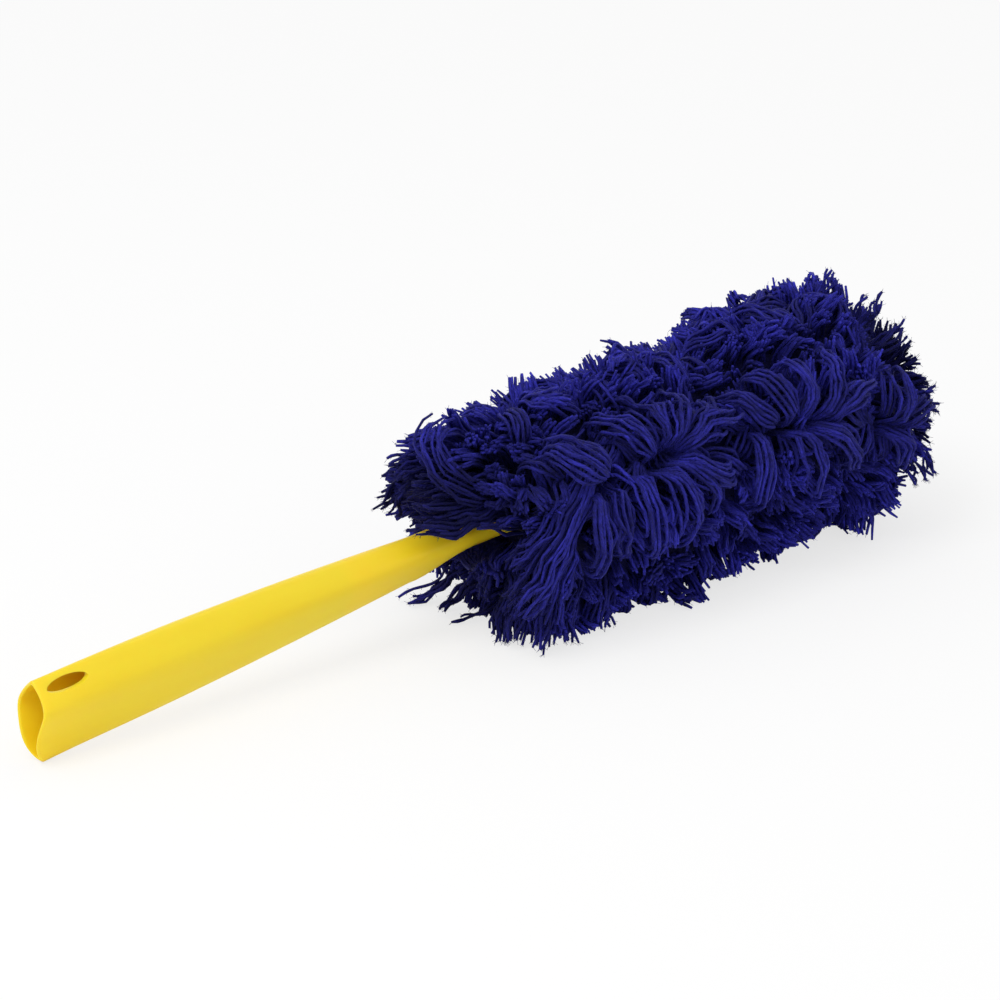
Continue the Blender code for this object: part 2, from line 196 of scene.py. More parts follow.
class Value:
    """A node's output that takes part in Python expressions on numbers."""

    def __init__(self, graph: "Graph", output: Socket) -> None:
        """Wrap an output of a graph."""
        self.graph = graph
        self.output = output

    def __add__(self, other: "Value | float") -> "Value":
        """Add."""
        return self.graph.maths("ADD", self, other)

    def __sub__(self, other: "Value | float") -> "Value":
        """Subtract."""
        return self.graph.maths("SUBTRACT", self, other)

    def __rsub__(self, other: float) -> "Value":
        """Subtract from a number."""
        return self.graph.maths("SUBTRACT", other, self)

    def __mul__(self, other: "Value | float") -> "Value":
        """Multiply."""
        return self.graph.maths("MULTIPLY", self, other)

    def __pow__(self, other: float) -> "Value":
        """Raise to a power."""
        return self.graph.maths("POWER", self, other)

    def __abs__(self) -> "Value":
        """Take the absolute value."""
        return self.graph.maths("ABSOLUTE", self)

    __radd__ = __add__
    __rmul__ = __mul__

    def sine(self) -> "Value":
        """Take the sine."""
        return self.graph.maths("SINE", self)

    def clamped(self) -> "Value":
        """Hold between 0 and 1."""
        return self.graph.maths("MINIMUM", self.graph.maths("MAXIMUM", self, 0.0), 1.0)


class Graph:
    """The node tree of a material or a world, written to in few words."""

    def __init__(self, owner: Material | bpy.types.World, shader: str) -> None:
        """Take up the tree of a material or a world.

        Args:
            owner: The material or the world.
            shader: The name of its shader node.
        """
        self.owner = owner
        self.owner.use_nodes = True
        self.tree = owner.node_tree
        self.shader = self.tree.nodes[shader]

    @classmethod
    def of_material(cls, name: str) -> "Graph":
        """Start a new material."""
        return cls(bpy.data.materials.new(name), "Principled BSDF")

    def node(
        self,
        kind: str,
        settings: dict[str, object] | None = None,
        sockets: dict[str | int, object] | None = None,
    ) -> bpy.types.Node:
        """Add a node.

        Args:
            kind: The node's type.
            settings: The node's own properties, set first.
            sockets: Its inputs by name or number, each a Value, an output or a constant.

        Returns:
            The node.
        """
        made = self.tree.nodes.new(kind)
        for name, value in (settings or {}).items():
            setattr(made, name, value)
        for name, value in (sockets or {}).items():
            self.feed(made.inputs[name], value)
        return made

    def feed(self, socket: Socket, value: object) -> None:
        """Link a Value or an output to an input, or set the input to a constant.

        Args:
            socket: The input.
            value: What feeds it.
        """
        if isinstance(value, Value):
            value = value.output
        if isinstance(value, Socket):
            self.tree.links.new(value, socket)
        else:
            socket.default_value = value

    def maths(self, operation: str, *values: "Value | float") -> Value:
        """Add one Math node."""
        made = self.node("ShaderNodeMath", {"operation": operation}, dict(enumerate(values)))
        return Value(self, made.outputs[0])

    def place(self, scale: Point = (1.0, 1.0, 1.0), vector: Socket | None = None) -> Socket:
        """Give coordinates scaled: a vector's, or else the object's own.

        Args:
            scale: The scale along each axis.
            vector: The coordinates, if not the object's.

        Returns:
            The scaled coordinates.
        """
        vector = vector or self.node("ShaderNodeTexCoord").outputs["Object"]
        sockets = {"Vector": vector, "Scale": scale}
        return self.node("ShaderNodeMapping", None, sockets).outputs["Vector"]

    def axes(self, vector: Socket) -> tuple[Value, Value, Value]:
        """Split a vector into its three numbers."""
        made = self.node("ShaderNodeSeparateXYZ", None, {"Vector": vector})
        return tuple(Value(self, output) for output in made.outputs)

    def noise(self, vector: Socket, scale: float, detail: float = 2.0) -> Value:
        """Give a noise between 0 and 1, of a number of waves to the metre."""
        sockets = {"Vector": vector, "Scale": scale, "Detail": detail}
        return Value(self, self.node("ShaderNodeTexNoise", None, sockets).outputs[0])

    def colour(self, low: Point, high: Point, share: Value) -> Socket:
        """Mix two linear colours."""
        sockets = {0: share, 6: (*low, 1.0), 7: (*high, 1.0)}
        return self.node("ShaderNodeMix", {"data_type": "RGBA"}, sockets).outputs[2]

    def shaded(self, colour: Socket, shade: Value) -> Socket:
        """Multiply a colour by a number."""
        sockets = {0: colour, "Scale": shade}
        return self.node("ShaderNodeVectorMath", {"operation": "SCALE"}, sockets).outputs[0]

    def bump(self, height: Value, depth: float, strength: float = 1.0) -> Socket:
        """Turn a height between 0 and 1 into a normal.

        Args:
            height: The height.
            depth: What a height of 1 is, in metres.
            strength: How much of the bump shows.

        Returns:
            The normal.
        """
        sockets = {"Height": height, "Distance": depth, "Strength": strength}
        return self.node("ShaderNodeBump", None, sockets).outputs["Normal"]

    def set(self, **constants: object) -> None:
        """Set the shader's own sockets, named with underscores for spaces."""
        for name, value in constants.items():
            self.feed(self.shader.inputs[name.replace("_", " ")], value)


@dataclass(frozen=True)
class MouldedPlastic:
    """Yellow polypropylene from a mould: satin, faintly flowed, with a parting line."""

    colour: Point = (0.968, 0.705, 0.024)
    deep: Point = (0.925, 0.635, 0.013)
    roughness: float = 0.36
    scuffed: float = 0.22
    parting_half_width: float = 0.00016
    relief: float = 0.00008
    glow: float = 0.5
    glow_reach: Point = (0.0040, 0.0026, 0.0006)

    def material(self) -> Material:
        """Make the material.

        Returns:
            The material.
        """
        graph = Graph.of_material("yellow_moulded_plastic")
        place = graph.place()
        flow = graph.noise(graph.place((6.0, 40.0, 40.0)), 3.0, 3.0)
        grain = graph.noise(place, 5200.0, 2.0)
        cloud = graph.noise(place, 60.0, 3.0)
        scuff = graph.noise(graph.place((90.0, 1400.0, 1400.0)), 1.0, 4.0)
        across = graph.axes(place)[1]
        parting = 1.0 - abs(across - LIE.origin[1]) * (1.0 / self.parting_half_width)
        share = (flow * 0.8 + cloud * 0.5 - 0.15).clamped()
        graph.set(
            Base_Color=graph.colour(self.deep, self.colour, share),
            Roughness=self.roughness + (scuff - 0.5) * self.scuffed + (cloud - 0.5) * 0.08,
            Normal=graph.bump(
                grain * 0.25 + scuff * 0.2 + parting.clamped() * 0.9, self.relief, 0.8
            ),
            Specular_IOR_Level=0.32,
            Subsurface_Weight=self.glow,
            Subsurface_Radius=self.glow_reach,
            Subsurface_Scale=1.0,
        )
        return graph.owner


@dataclass(frozen=True)
class PliedYarn:
    """Royal blue acrylic yarn of four plies, matt and a little fuzzy."""

    crest: Point = (0.0270, 0.0270, 0.360)
    # The dark colour is random mottle and painted shade in the creases between plies.
    mottle_and_crease_shade: Point = (0.0050, 0.0050, 0.075)
    roughness: float = 0.70
    plies: float = 4.0
    streaks: Point = (0.45, 4.0, 1.0)
    relief: float = 0.0007

    def material(self) -> Material:
        """Make the material, which reads the strands' UV map and their tone, which holds painted
        shade as well as random tone.

        Returns:
            The material.
        """
        graph = Graph.of_material("blue_plied_yarn")
        yarn = graph.node("ShaderNodeUVMap", {"uv_map": "yarn"}).outputs[0]
        along, around = graph.axes(yarn)[:2]
        # The tone attribute holds each strand's random tone times its painted depth shade; on the
        # base it is painted shade alone.
        tone = graph.node("ShaderNodeAttribute", {"attribute_name": "tone"}).outputs[2]
        ply = abs(((along + around * self.plies) * math.pi).sine()) ** 0.7
        streak = graph.noise(graph.place(self.streaks, yarn), 1.0, 3.0)
        place = graph.place()
        fluff = graph.noise(place, 900.0, 3.0)
        cloud = graph.noise(place, 110.0, 3.0)
        # The ply term darkens the creases between plies, painted shade; the streak and fluff terms
        # are random mottle.
        share = (ply * 0.18 + (streak - 0.5) * 1.9 + (fluff - 0.5) * 1.3 + 0.36).clamped()
        base = graph.colour(self.mottle_and_crease_shade, self.crest, share)
        shade = Value(graph, tone) * (0.38 + cloud * 1.24)
        graph.set(
            Base_Color=graph.shaded(base, shade),
            Roughness=self.roughness + (fluff - 0.5) * 0.2,
            Normal=graph.bump(ply * 0.2 + streak * 0.6 + fluff * 0.9, self.relief, 0.9),
            Sheen_Weight=0.12,
            Sheen_Roughness=0.45,
            Sheen_Tint=(0.22, 0.24, 0.75, 1.0),
            Specular_IOR_Level=0.14,
        )
        return graph.owner


class Weave(Enum):
    """How closely a cloth is woven, as threads to the metre."""

    CLOTH = 1500.0
    TAPE = 1900.0


@dataclass(frozen=True)
class WovenCloth:
    """Dark blue woven cloth of the sleeve and its tapes."""

    weave: Weave
    thread: Point = (0.020, 0.019, 0.120)
    # The dark colour is painted shade between the threads and random slub.
    slub_and_gap_shade: Point = (0.005, 0.005, 0.034)
    relief: float = 0.00025

    def material(self) -> Material:
        """Make the material, with warp and weft that pass over each other.

        Returns:
            The material.
        """
        graph = Graph.of_material(f"blue_{self.weave.name.lower()}")
        place = graph.place()
        x, y, z = graph.axes(place)
        turn = self.weave.value * math.pi
        warp, weft = (x * turn).sine(), ((y + z) * turn).sine()
        over = (warp * weft * 0.5 + 0.5).clamped()
        height = (abs(warp) * over + abs(weft) * (1.0 - over)).clamped()
        slub = graph.noise(place, 420.0, 2.0)
        # Low places of the weave get the dark colour as painted shade between threads; slub varies
        # the tone at random.
        share = (height * 0.8 + slub * 0.4 - 0.1).clamped()
        graph.set(
            Base_Color=graph.colour(self.slub_and_gap_shade, self.thread, share),
            Roughness=0.78 + slub * 0.15,
            Normal=graph.bump(height, self.relief, 0.8),
            Sheen_Weight=0.2,
            Specular_IOR_Level=0.25,
        )
        return graph.owner


@dataclass
class Handle:
    """The moulded handle: hollow grip with its hanging hole, thin neck and flat blade."""

    grip_length: float = 0.194
    neck_length: float = 0.052
    blade_length: float = 0.216
    blade_width: float = 0.030
    blade_thickness: float = 0.0044
    blade_tip_width: float = 0.024
    blade_tip_rounding: float = 0.008
    wall: float = 0.0019
    hollow_length: float = 0.158
    butt_crown: float = -0.0047
    neck_crown: float = 0.0032
    butt_keel: float = -0.0419
    neck_keel: float = -0.0170
    neck_low: float = -0.0085
    keel_belly: float = 0.0013
    butt_half_width: float = 0.0114
    neck_half_width: float = 0.0086
    butt_bend: Shares = (-0.0045, 0.0033, 0.0033, -0.0012)
    butt_blend: float = 0.075
    bend_length: float = 0.030
    hole_length: float = 0.0198
    hole_height: float = 0.0047
    hole_from_butt: float = 0.0152
    hole_roof: float = 0.0015
    narrow_share: float = 0.72
    points: int = 72
    hollow_stations: Shares = (
        1.0, 0.9, 0.78, 0.64, 0.5, 0.37, 0.26, 0.19, 0.13, 0.08, 0.045, 0.02
    )
    grip_stations: Shares = (
        0.016, 0.03, 0.05, 0.075, 0.10, 0.13, 0.17, 0.23, 0.3, 0.38, 0.46, 0.54,
        0.62, 0.7, 0.78, 0.85, 0.91, 0.96, 1.0,
    )
    neck_stations: Shares = (
        0.08, 0.16, 0.26, 0.36, 0.47, 0.58, 0.66, 0.74, 0.82, 0.90, 0.96, 1.0
    )
    rim_bevel: float = 0.0004

    def pulls(self, x: float, inset: float) -> Array:
        """Give the closed ring of points that pull the section at x.

        Args:
            x: The place along the handle.
            inset: How far the section stands in from the handle's outside.

        Returns:
            Rows of y and z, from the crown down one side and up the other.
        """
        butt = np.array([(0.13, 0.0), (1.11, 0.275), (0.75, 0.485), (0.26, 1.0)])
        grip = np.array([(0.28, 0.0), (1.18, 0.265), (0.90, 0.56), (0.40, 1.0)])
        grip += (butt - grip) * (1 - ease(x / self.butt_blend))
        neck = np.array([(0.55, 0.0), (1.20, 0.20), (1.05, 0.71), (0.50, 1.0)])
        flat = np.array([(0.80, 0.0), (1.008, 0.0), (1.008, 1.0), (0.80, 1.0)])
        share = min(x / self.grip_length, 1.0)
        crown = self.crown(x)
        belly = self.keel_belly * math.sin(math.pi * share)
        keel = self.butt_keel + (self.neck_keel - self.butt_keel) * share - belly
        half = self.butt_half_width + (self.neck_half_width - self.butt_half_width) * share
        grip_half = self.scaled(grip, half - inset, crown - inset, keel + inset)
        neck_half = self.scaled(neck, self.neck_half_width, self.neck_crown, self.neck_low)
        thick = self.blade_thickness / 2
        blade_start = self.grip_length + self.neck_length
        narrow = self.grip_length + self.neck_length * self.narrow_share
        if x <= narrow:
            t = ease((x - self.grip_length) / (narrow - self.grip_length))
            side = grip_half * (1 - t) + neck_half * t
        else:
            run = max(x - blade_start, 0.0) / self.blade_length
            wide = (self.blade_width + (self.blade_tip_width - self.blade_width) * run) / 2
            t = ease((x - narrow) / (blade_start - narrow))
            side = neck_half * (1 - t) + self.scaled(flat, wide, thick, -thick) * t
        return self.closed(side)

    def crown(self, x: float) -> float:
        """Give the height of the crown at x."""
        left = max(1 - x / self.grip_length, 0.0)
        return self.neck_crown + (self.butt_crown - self.neck_crown) * left**2

    @staticmethod
    def scaled(pulls: Array, half: float, crown: float, keel: float) -> Array:
        """Scale shares of half-width and depth to a section's size."""
        return np.stack([pulls[:, 0] * half, crown + (keel - crown) * pulls[:, 1]], axis=1)

    @staticmethod
    def closed(side: Array) -> Array:
        """Close a half section, listed from the crown down, with its mirror image."""
        crown, keel = [[0.0, side[0, 1]]], [[0.0, side[-1, 1]]]
        return np.concatenate([crown, side, keel, side[::-1] * np.array([-1.0, 1.0])])

    def ring(self, x: float, inset: float = 0.0) -> Array:
        """Sample the section at x, bent to the butt's curve while x is close to it.

        Args:
            x: The place along the handle.
            inset: How far the section stands in from the outside.

        Returns:
            Rows of x, y and z.
        """
        pulls = self.pulls(x, inset)
        total = len(pulls)
        place = np.arange(self.points) * total / self.points
        first = place.astype(int)
        t = place - first
        weights = (
            (1 - t) ** 3 / 6, (3 * t**3 - 6 * t**2 + 4) / 6,
            (-3 * t**3 + 3 * t**2 + 3 * t + 1) / 6, t**3 / 6,
        )
        section = np.zeros((self.points, 2))
        for step, weight in enumerate(weights):
            section += weight[:, None] * pulls[(first + step - 1) % total]
        middle = (self.butt_crown + self.butt_keel) / 2
        share = (section[:, 1] - middle) / ((self.butt_crown - self.butt_keel) / 2)
        bend = np.polyval(self.butt_bend, share) * (1 - ease(x / self.bend_length))
        return np.column_stack([x + bend, section])

    def rings(self) -> list[Array]:
        """List the rings from the hollow's inner end, round the lip, to the blade's tip.

        Returns:
            The rings, in the order in which the body is drawn.
        """
        rings = [self.ring(self.hollow_length * share, self.wall) for share in self.hollow_stations]
        half = self.wall / 2
        for turn in np.linspace(0, math.pi, 9):
            x = half * (1 - math.sin(turn))
            rings.append(self.ring(x, half * (1 + math.cos(turn))))
        blade = self.grip_length + self.neck_length
        straight = self.blade_length - self.blade_tip_rounding
        outside = (
            (0.0, self.grip_length, self.grip_stations),
            (self.grip_length, self.neck_length, self.neck_stations),
            (blade, straight, (0.5, 1.0)),
        )
        for start, length, stations in outside:
            rings += [self.ring(start + length * share) for share in stations]
        return rings + self.tip_rings(blade + straight)

    def tip_rings(self, x: float) -> list[Array]:
        """Round the blade's tip in plan, from x on.

        Args:
            x: Where the rounding starts.

        Returns:
            The rings.
        """
        whole = self.ring(x)
        rings = []
        for degrees in (20, 40, 58, 74, 84):
            turn = math.radians(degrees)
            ring = whole.copy()
            ring[:, 0] += self.blade_tip_rounding * math.sin(turn)
            half = self.blade_tip_width / 2
            narrowed = half - self.blade_tip_rounding * (1 - math.cos(turn))
            ring[:, 1] *= narrowed / half
            rings.append(ring)
        return rings

    def draw_body(self) -> Piece:
        """Draw the body from a filled circle, extruded ring by ring.

        Returns:
            The body, in the straight frame.
        """
        rings = self.rings()
        Bench.deselect()
        bpy.ops.mesh.primitive_circle_add(vertices=self.points, radius=0.01, fill_type="NGON")
        body = Bench.name(bpy.context.object, "moulded_handle")
        bpy.ops.object.mode_set(mode="EDIT")
        bpy.ops.mesh.select_mode(type="EDGE")
        self.move_selected(body, rings[0])
        for ring in rings[1:]:
            bpy.ops.mesh.extrude_edges_move()
            self.move_selected(body, ring)
        bpy.ops.mesh.edge_face_add()
        Bench.face_outwards(body)
        return body

    @staticmethod
    def move_selected(body: Piece, ring: Array) -> None:
        """Move the selected loop of vertices to a ring's points, in the order of their making.

        Args:
            body: The body, in edit mode.
            ring: The points.
        """
        bm = bmesh.from_edit_mesh(body.data)
        chosen = sorted((v for v in bm.verts if v.select), key=lambda v: v.index)
        for vertex, place in zip(chosen, ring):
            vertex.co = place
        bmesh.update_edit_mesh(body.data)

    def draw_hole_cutter(self) -> Piece:
        """Draw the oval cutter of the hanging hole.

        Returns:
            The cutter, turned along the crown.
        """
        x = self.hole_from_butt
        reach = self.hole_length / 2
        rise = self.crown(x + reach) - self.crown(x - reach)
        middle = self.crown(x) - self.hole_roof - self.hole_height / 2
        Bench.deselect()
        bpy.ops.mesh.primitive_cylinder_add(
            vertices=48,
            radius=reach,
            depth=self.butt_half_width * 4,
            location=(x, 0.0, middle),
            rotation=(math.pi / 2, 0.0, 0.0),
        )
        cutter = bpy.context.object
        cutter.scale = (1.0, self.hole_height / self.hole_length, 1.0)
        bpy.ops.object.transform_apply(location=False, rotation=True, scale=True)
        cutter.rotation_euler = (0.0, -math.atan2(rise, self.hole_length), 0.0)
        return cutter

    def cut_hole(self, body: Piece) -> None:
        """Cut the hanging hole and round its rims.

        Args:
            body: The handle's body.
        """
        cutter = self.draw_hole_cutter()
        body.data.materials.append(bpy.data.materials.new("outside"))
        walls = bpy.data.materials.new("hole_wall")
        cutter.data.materials.append(walls)
        Bench.apply(
            body, "BOOLEAN", operation="DIFFERENCE", solver="EXACT", object=cutter,
            material_mode="TRANSFER",
        )
        bpy.data.objects.remove(cutter, do_unlink=True)
        Bench.pick(body)
        bpy.ops.object.mode_set(mode="EDIT")
        bpy.ops.mesh.select_mode(type="EDGE")
        bpy.ops.mesh.select_all(action="DESELECT")
        bm = bmesh.from_edit_mesh(body.data)
        wall_index = body.data.materials.find("hole_wall")
        for edge in bm.edges:
            kinds = {face.material_index == wall_index for face in edge.link_faces}
            edge.select_set(len(kinds) == 2)
        bmesh.update_edit_mesh(body.data)
        bpy.ops.mesh.bevel(
            offset=self.rim_bevel, segments=3, affect="EDGES", clamp_overlap=True
        )
        bpy.ops.object.mode_set(mode="OBJECT")

    def build(self, plastic: Material) -> Piece:
        """Build the handle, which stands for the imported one.

        Args:
            plastic: The material of the moulding.

        Returns:
            The finished piece.
        """
        body = self.draw_body()
        self.cut_hole(body)
        body.data.materials.clear()
        body.data.materials.append(plastic)
        for face in body.data.polygons:
            face.material_index = 0
        Bench.pick(body)
        bpy.ops.object.shade_smooth_by_angle(angle=math.radians(40))
        Bench.settle(body)
        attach(body, "handle")
        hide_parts("handle")
        return body


def ease(t: float) -> float:
    """Smooth a share, held between 0 and 1, so that it starts and stops gently."""
    t = min(max(t, 0.0), 1.0)
    return t * t * (3 - 2 * t)


def polar(angle: Array, radius: Array) -> Array:
    """Give y and z at an angle from the front, up over the top, as the last axis."""
    return np.stack([-radius * np.cos(angle), radius * np.sin(angle)], axis=-1)


def unit(vectors: Array) -> Array:
    """Scale vectors on the last axis to length 1."""
    return vectors / np.maximum(np.linalg.norm(vectors, axis=-1, keepdims=True), 1e-9)


class Ripple:
    """A smooth field of chosen grain that wanders over space, about 0, with a size near 1."""

    def __init__(self, grain: float, seed: int, channels: int = 1) -> None:
        """Draw the field's waves.

        Args:
            grain: The length of a wave.
            seed: The seed of their directions and phases.
            channels: How many numbers the field gives at a point.
        """
        rng = np.random.default_rng(seed)
        waves = 14
        directions = unit(rng.normal(size=(channels, waves, 3)))
        stretch = rng.uniform(0.6, 1.5, size=(channels, waves, 1))
        self.waves = directions * stretch * (2 * math.pi / grain)
        self.phases = rng.uniform(0, 2 * math.pi, size=(channels, waves))

    def at(self, points: Array) -> Array:
        """Give the field at points, one column for each channel."""
        angles = np.einsum("ni,cwi->ncw", points, self.waves) + self.phases
        return np.sin(angles).sum(axis=-1) / math.sqrt(self.phases.shape[1] / 2)


@dataclass
class HeadForm:
    """The outer form of the yarn, and where its rows part and meet."""

    start: float = 0.2030
    end: float = 0.4810
    end_turns: Shares = (0, 18, 32, 46, 62, 90, 120, 180, 240, 300, 340, 360)
    ends: Shares = (
        0.4790, 0.4720, 0.4620, 0.4545, 0.4560, 0.4630, 0.4660, 0.4720, 0.4780, 0.4810, 0.4810,
        0.4790,
    )
    start_turns: Shares = (0, 30, 60, 90, 120, 150, 180, 210, 240, 270, 300, 330, 360)
    starts: Shares = (
        0.2195, 0.2180, 0.2120, 0.2070, 0.2050, 0.2070, 0.2130, 0.2250, 0.2350, 0.2290, 0.2200,
        0.2190, 0.2195,
    )
    end_length: float = 0.027
    end_power: float = 2.5
    upper_places: Shares = (0.22, 0.258, 0.303, 0.340, 0.356, 0.376, 0.40, 0.433, 0.465)
    upper_radii: Shares = (
        0.048, 0.0490, 0.0515, 0.0515, 0.0505, 0.0570, 0.0600, 0.0610, 0.0570
    )
    lower_places: Shares = (0.22, 0.258, 0.333, 0.378, 0.403, 0.433, 0.465, 0.48)
    lower_radii: Shares = (0.061, 0.0615, 0.0610, 0.0570, 0.0550, 0.0535, 0.052, 0.050)
    upper_angle: float = math.radians(105)
    valleys: Shares = (61.0, 150.0, 240.0, 337.0)
    valley_depth: float = 0.0075
    valley_width: float = 8.0

    def full_radius(self, x: Array, angle: Array) -> Array:
        """Give the yarn's radius as if its ends weren't rounded.

        Args:
            x: The places along the head.
            angle: Their angles.

        Returns:
            The radius at each place.
        """
        upper = np.interp(x, self.upper_places, self.upper_radii)
        lower = np.interp(x, self.lower_places, self.lower_radii)
        lean = 0.5 * (1 + np.cos(angle - self.upper_angle))
        return lower + (upper - lower) * lean

    def valley(self, angle: Array) -> Array:
        """Give how far the yarn stands back where two rows meet.

        Args:
            angle: The angles.

        Returns:
            The depth at each.
        """
        deepest = np.zeros_like(angle)
        for middle in self.valleys:
            off = (np.degrees(angle) - middle + 180) % 360 - 180
            deepest = np.maximum(deepest, np.exp(-((off / self.valley_width) ** 2)))
        return deepest * self.valley_depth

    def start_at(self, angle: Array) -> Array:
        """Give where the yarn starts at an angle."""
        return np.interp(np.degrees(angle) % 360, self.start_turns, self.starts)

    def end_at(self, angle: Array) -> Array:
        """Give where the yarn ends at an angle."""
        return np.interp(np.degrees(angle) % 360, self.end_turns, self.ends)

    def end_share(self, x: Array, angle: Array) -> Array:
        """Give what the rounded ends leave of the radius at a place.

        Args:
            x: The places along the head.
            angle: Their angles.

        Returns:
            A share between 0 and 1 for each place.
        """
        inside = np.minimum(x - self.start_at(angle), self.end_at(angle) - x)
        near = np.clip(1 - inside / self.end_length, 0.0, 1.0)
        return (1 - near**self.end_power) ** (1 / self.end_power)

    def radius(self, x: Array, angle: Array) -> Array:
        """Give the yarn's outer radius."""
        return (self.full_radius(x, angle) - self.valley(angle)) * self.end_share(x, angle)

    def surface(self, x: Array, angle: Array) -> tuple[Array, Array]:
        """Give points of the surface and its normals there.

        Args:
            x: The places along the head.
            angle: Their angles.

        Returns:
            The points and the normals.
        """
        radius = self.radius(x, angle)
        step = 0.0004
        slope = (self.radius(x + step, angle) - self.radius(x - step, angle)) / (2 * step)
        outward = polar(angle, np.ones_like(x))
        points = np.column_stack([x, outward * radius[:, None]])
        normals = unit(np.column_stack([-slope, outward]))
        return points, normals

    def scatter(self, spacing: float, rng: Rng) -> tuple[Array, Array]:
        """Scatter places evenly over the surface, its ends included.

        Args:
            spacing: The distance between neighbours.
            rng: The source of the jitter.

        Returns:
            The places' x and their angles.
        """
        share = np.linspace(1e-4, 1 - 1e-4, 3000)
        middle_turn = np.full_like(share, 0.3)
        start = float(self.start_at(middle_turn[:1])[0])
        x = start + share * (float(self.end_at(middle_turn[:1])[0]) - start)
        radius = self.radius(x, middle_turn)
        run = np.concatenate([[0.0], np.cumsum(np.hypot(np.diff(x), np.diff(radius)))])
        places, angles = [], []
        rows = int(run[-1] / spacing)
        for row in range(rows):
            along = (row + rng.uniform(0.2, 0.8)) * spacing
            around = np.interp(along, run, radius)
            count = max(int(2 * math.pi * around / spacing), 1)
            turn = (np.arange(count) + rng.uniform(0, 1) + rng.uniform(-0.35, 0.35, count)) / count
            turn = turn * 2 * math.pi - math.pi
            shifted = along + rng.uniform(-0.35, 0.35, count) * spacing
            first = self.start_at(turn)
            places.append(first + np.interp(shifted, run, share) * (self.end_at(turn) - first))
            angles.append(turn)
        return np.concatenate(places), np.concatenate(angles)


class Side(Enum):
    """The four rows of yarn, by the place on the sleeve that each is sewn to."""

    FRONT = "front"
    TOP = "top"
    BACK = "back"
    BOTTOM = "bottom"


@dataclass(frozen=True)
class RowPlan:
    """Where one row is sewn, where its strands part, and how far it reaches each way."""

    side: Side
    root_angle: float
    root_radius: float
    parting: tuple[tuple[float, float], ...]
    low_reach: float
    high_reach: float
    hubs: Shares = (0.258, 0.300, 0.346, 0.390, 0.436)
    ribbon_lift: float = -0.0045
    dip: float = 0.35
    bare: float = 3.0

    def hub_near(self, x: float) -> float:
        """Give the hub from which the ribbons at x fan out."""
        return min(self.hubs, key=lambda hub: abs(hub - x))

    def parting_at(self, x: Array) -> Array:
        """Give the angle of the parting at x."""
        places, degrees = zip(*self.parting)
        return np.radians(np.interp(x, places, degrees))


ROWS = (
    RowPlan(Side.FRONT, 0.0, 0.0215,
            ((0.24, 38), (0.262, 32), (0.315, 34), (0.345, 31), (0.375, 26), (0.40, 20),
             (0.42, 11), (0.46, 6)), -24, 61, (0.262, 0.309, 0.372, 0.432), -0.0072, 1.0, 7.0),
    RowPlan(Side.TOP, 90.0, 0.0065, ((0.24, 104), (0.36, 100), (0.46, 92)), 61, 150),
    RowPlan(Side.BACK, 180.0, 0.0215, ((0.24, 200), (0.36, 194), (0.46, 188)), 150, 240),
    RowPlan(Side.BOTTOM, 270.0, 0.0065, ((0.24, 290), (0.36, 284), (0.46, 278)), 240, 336),
)


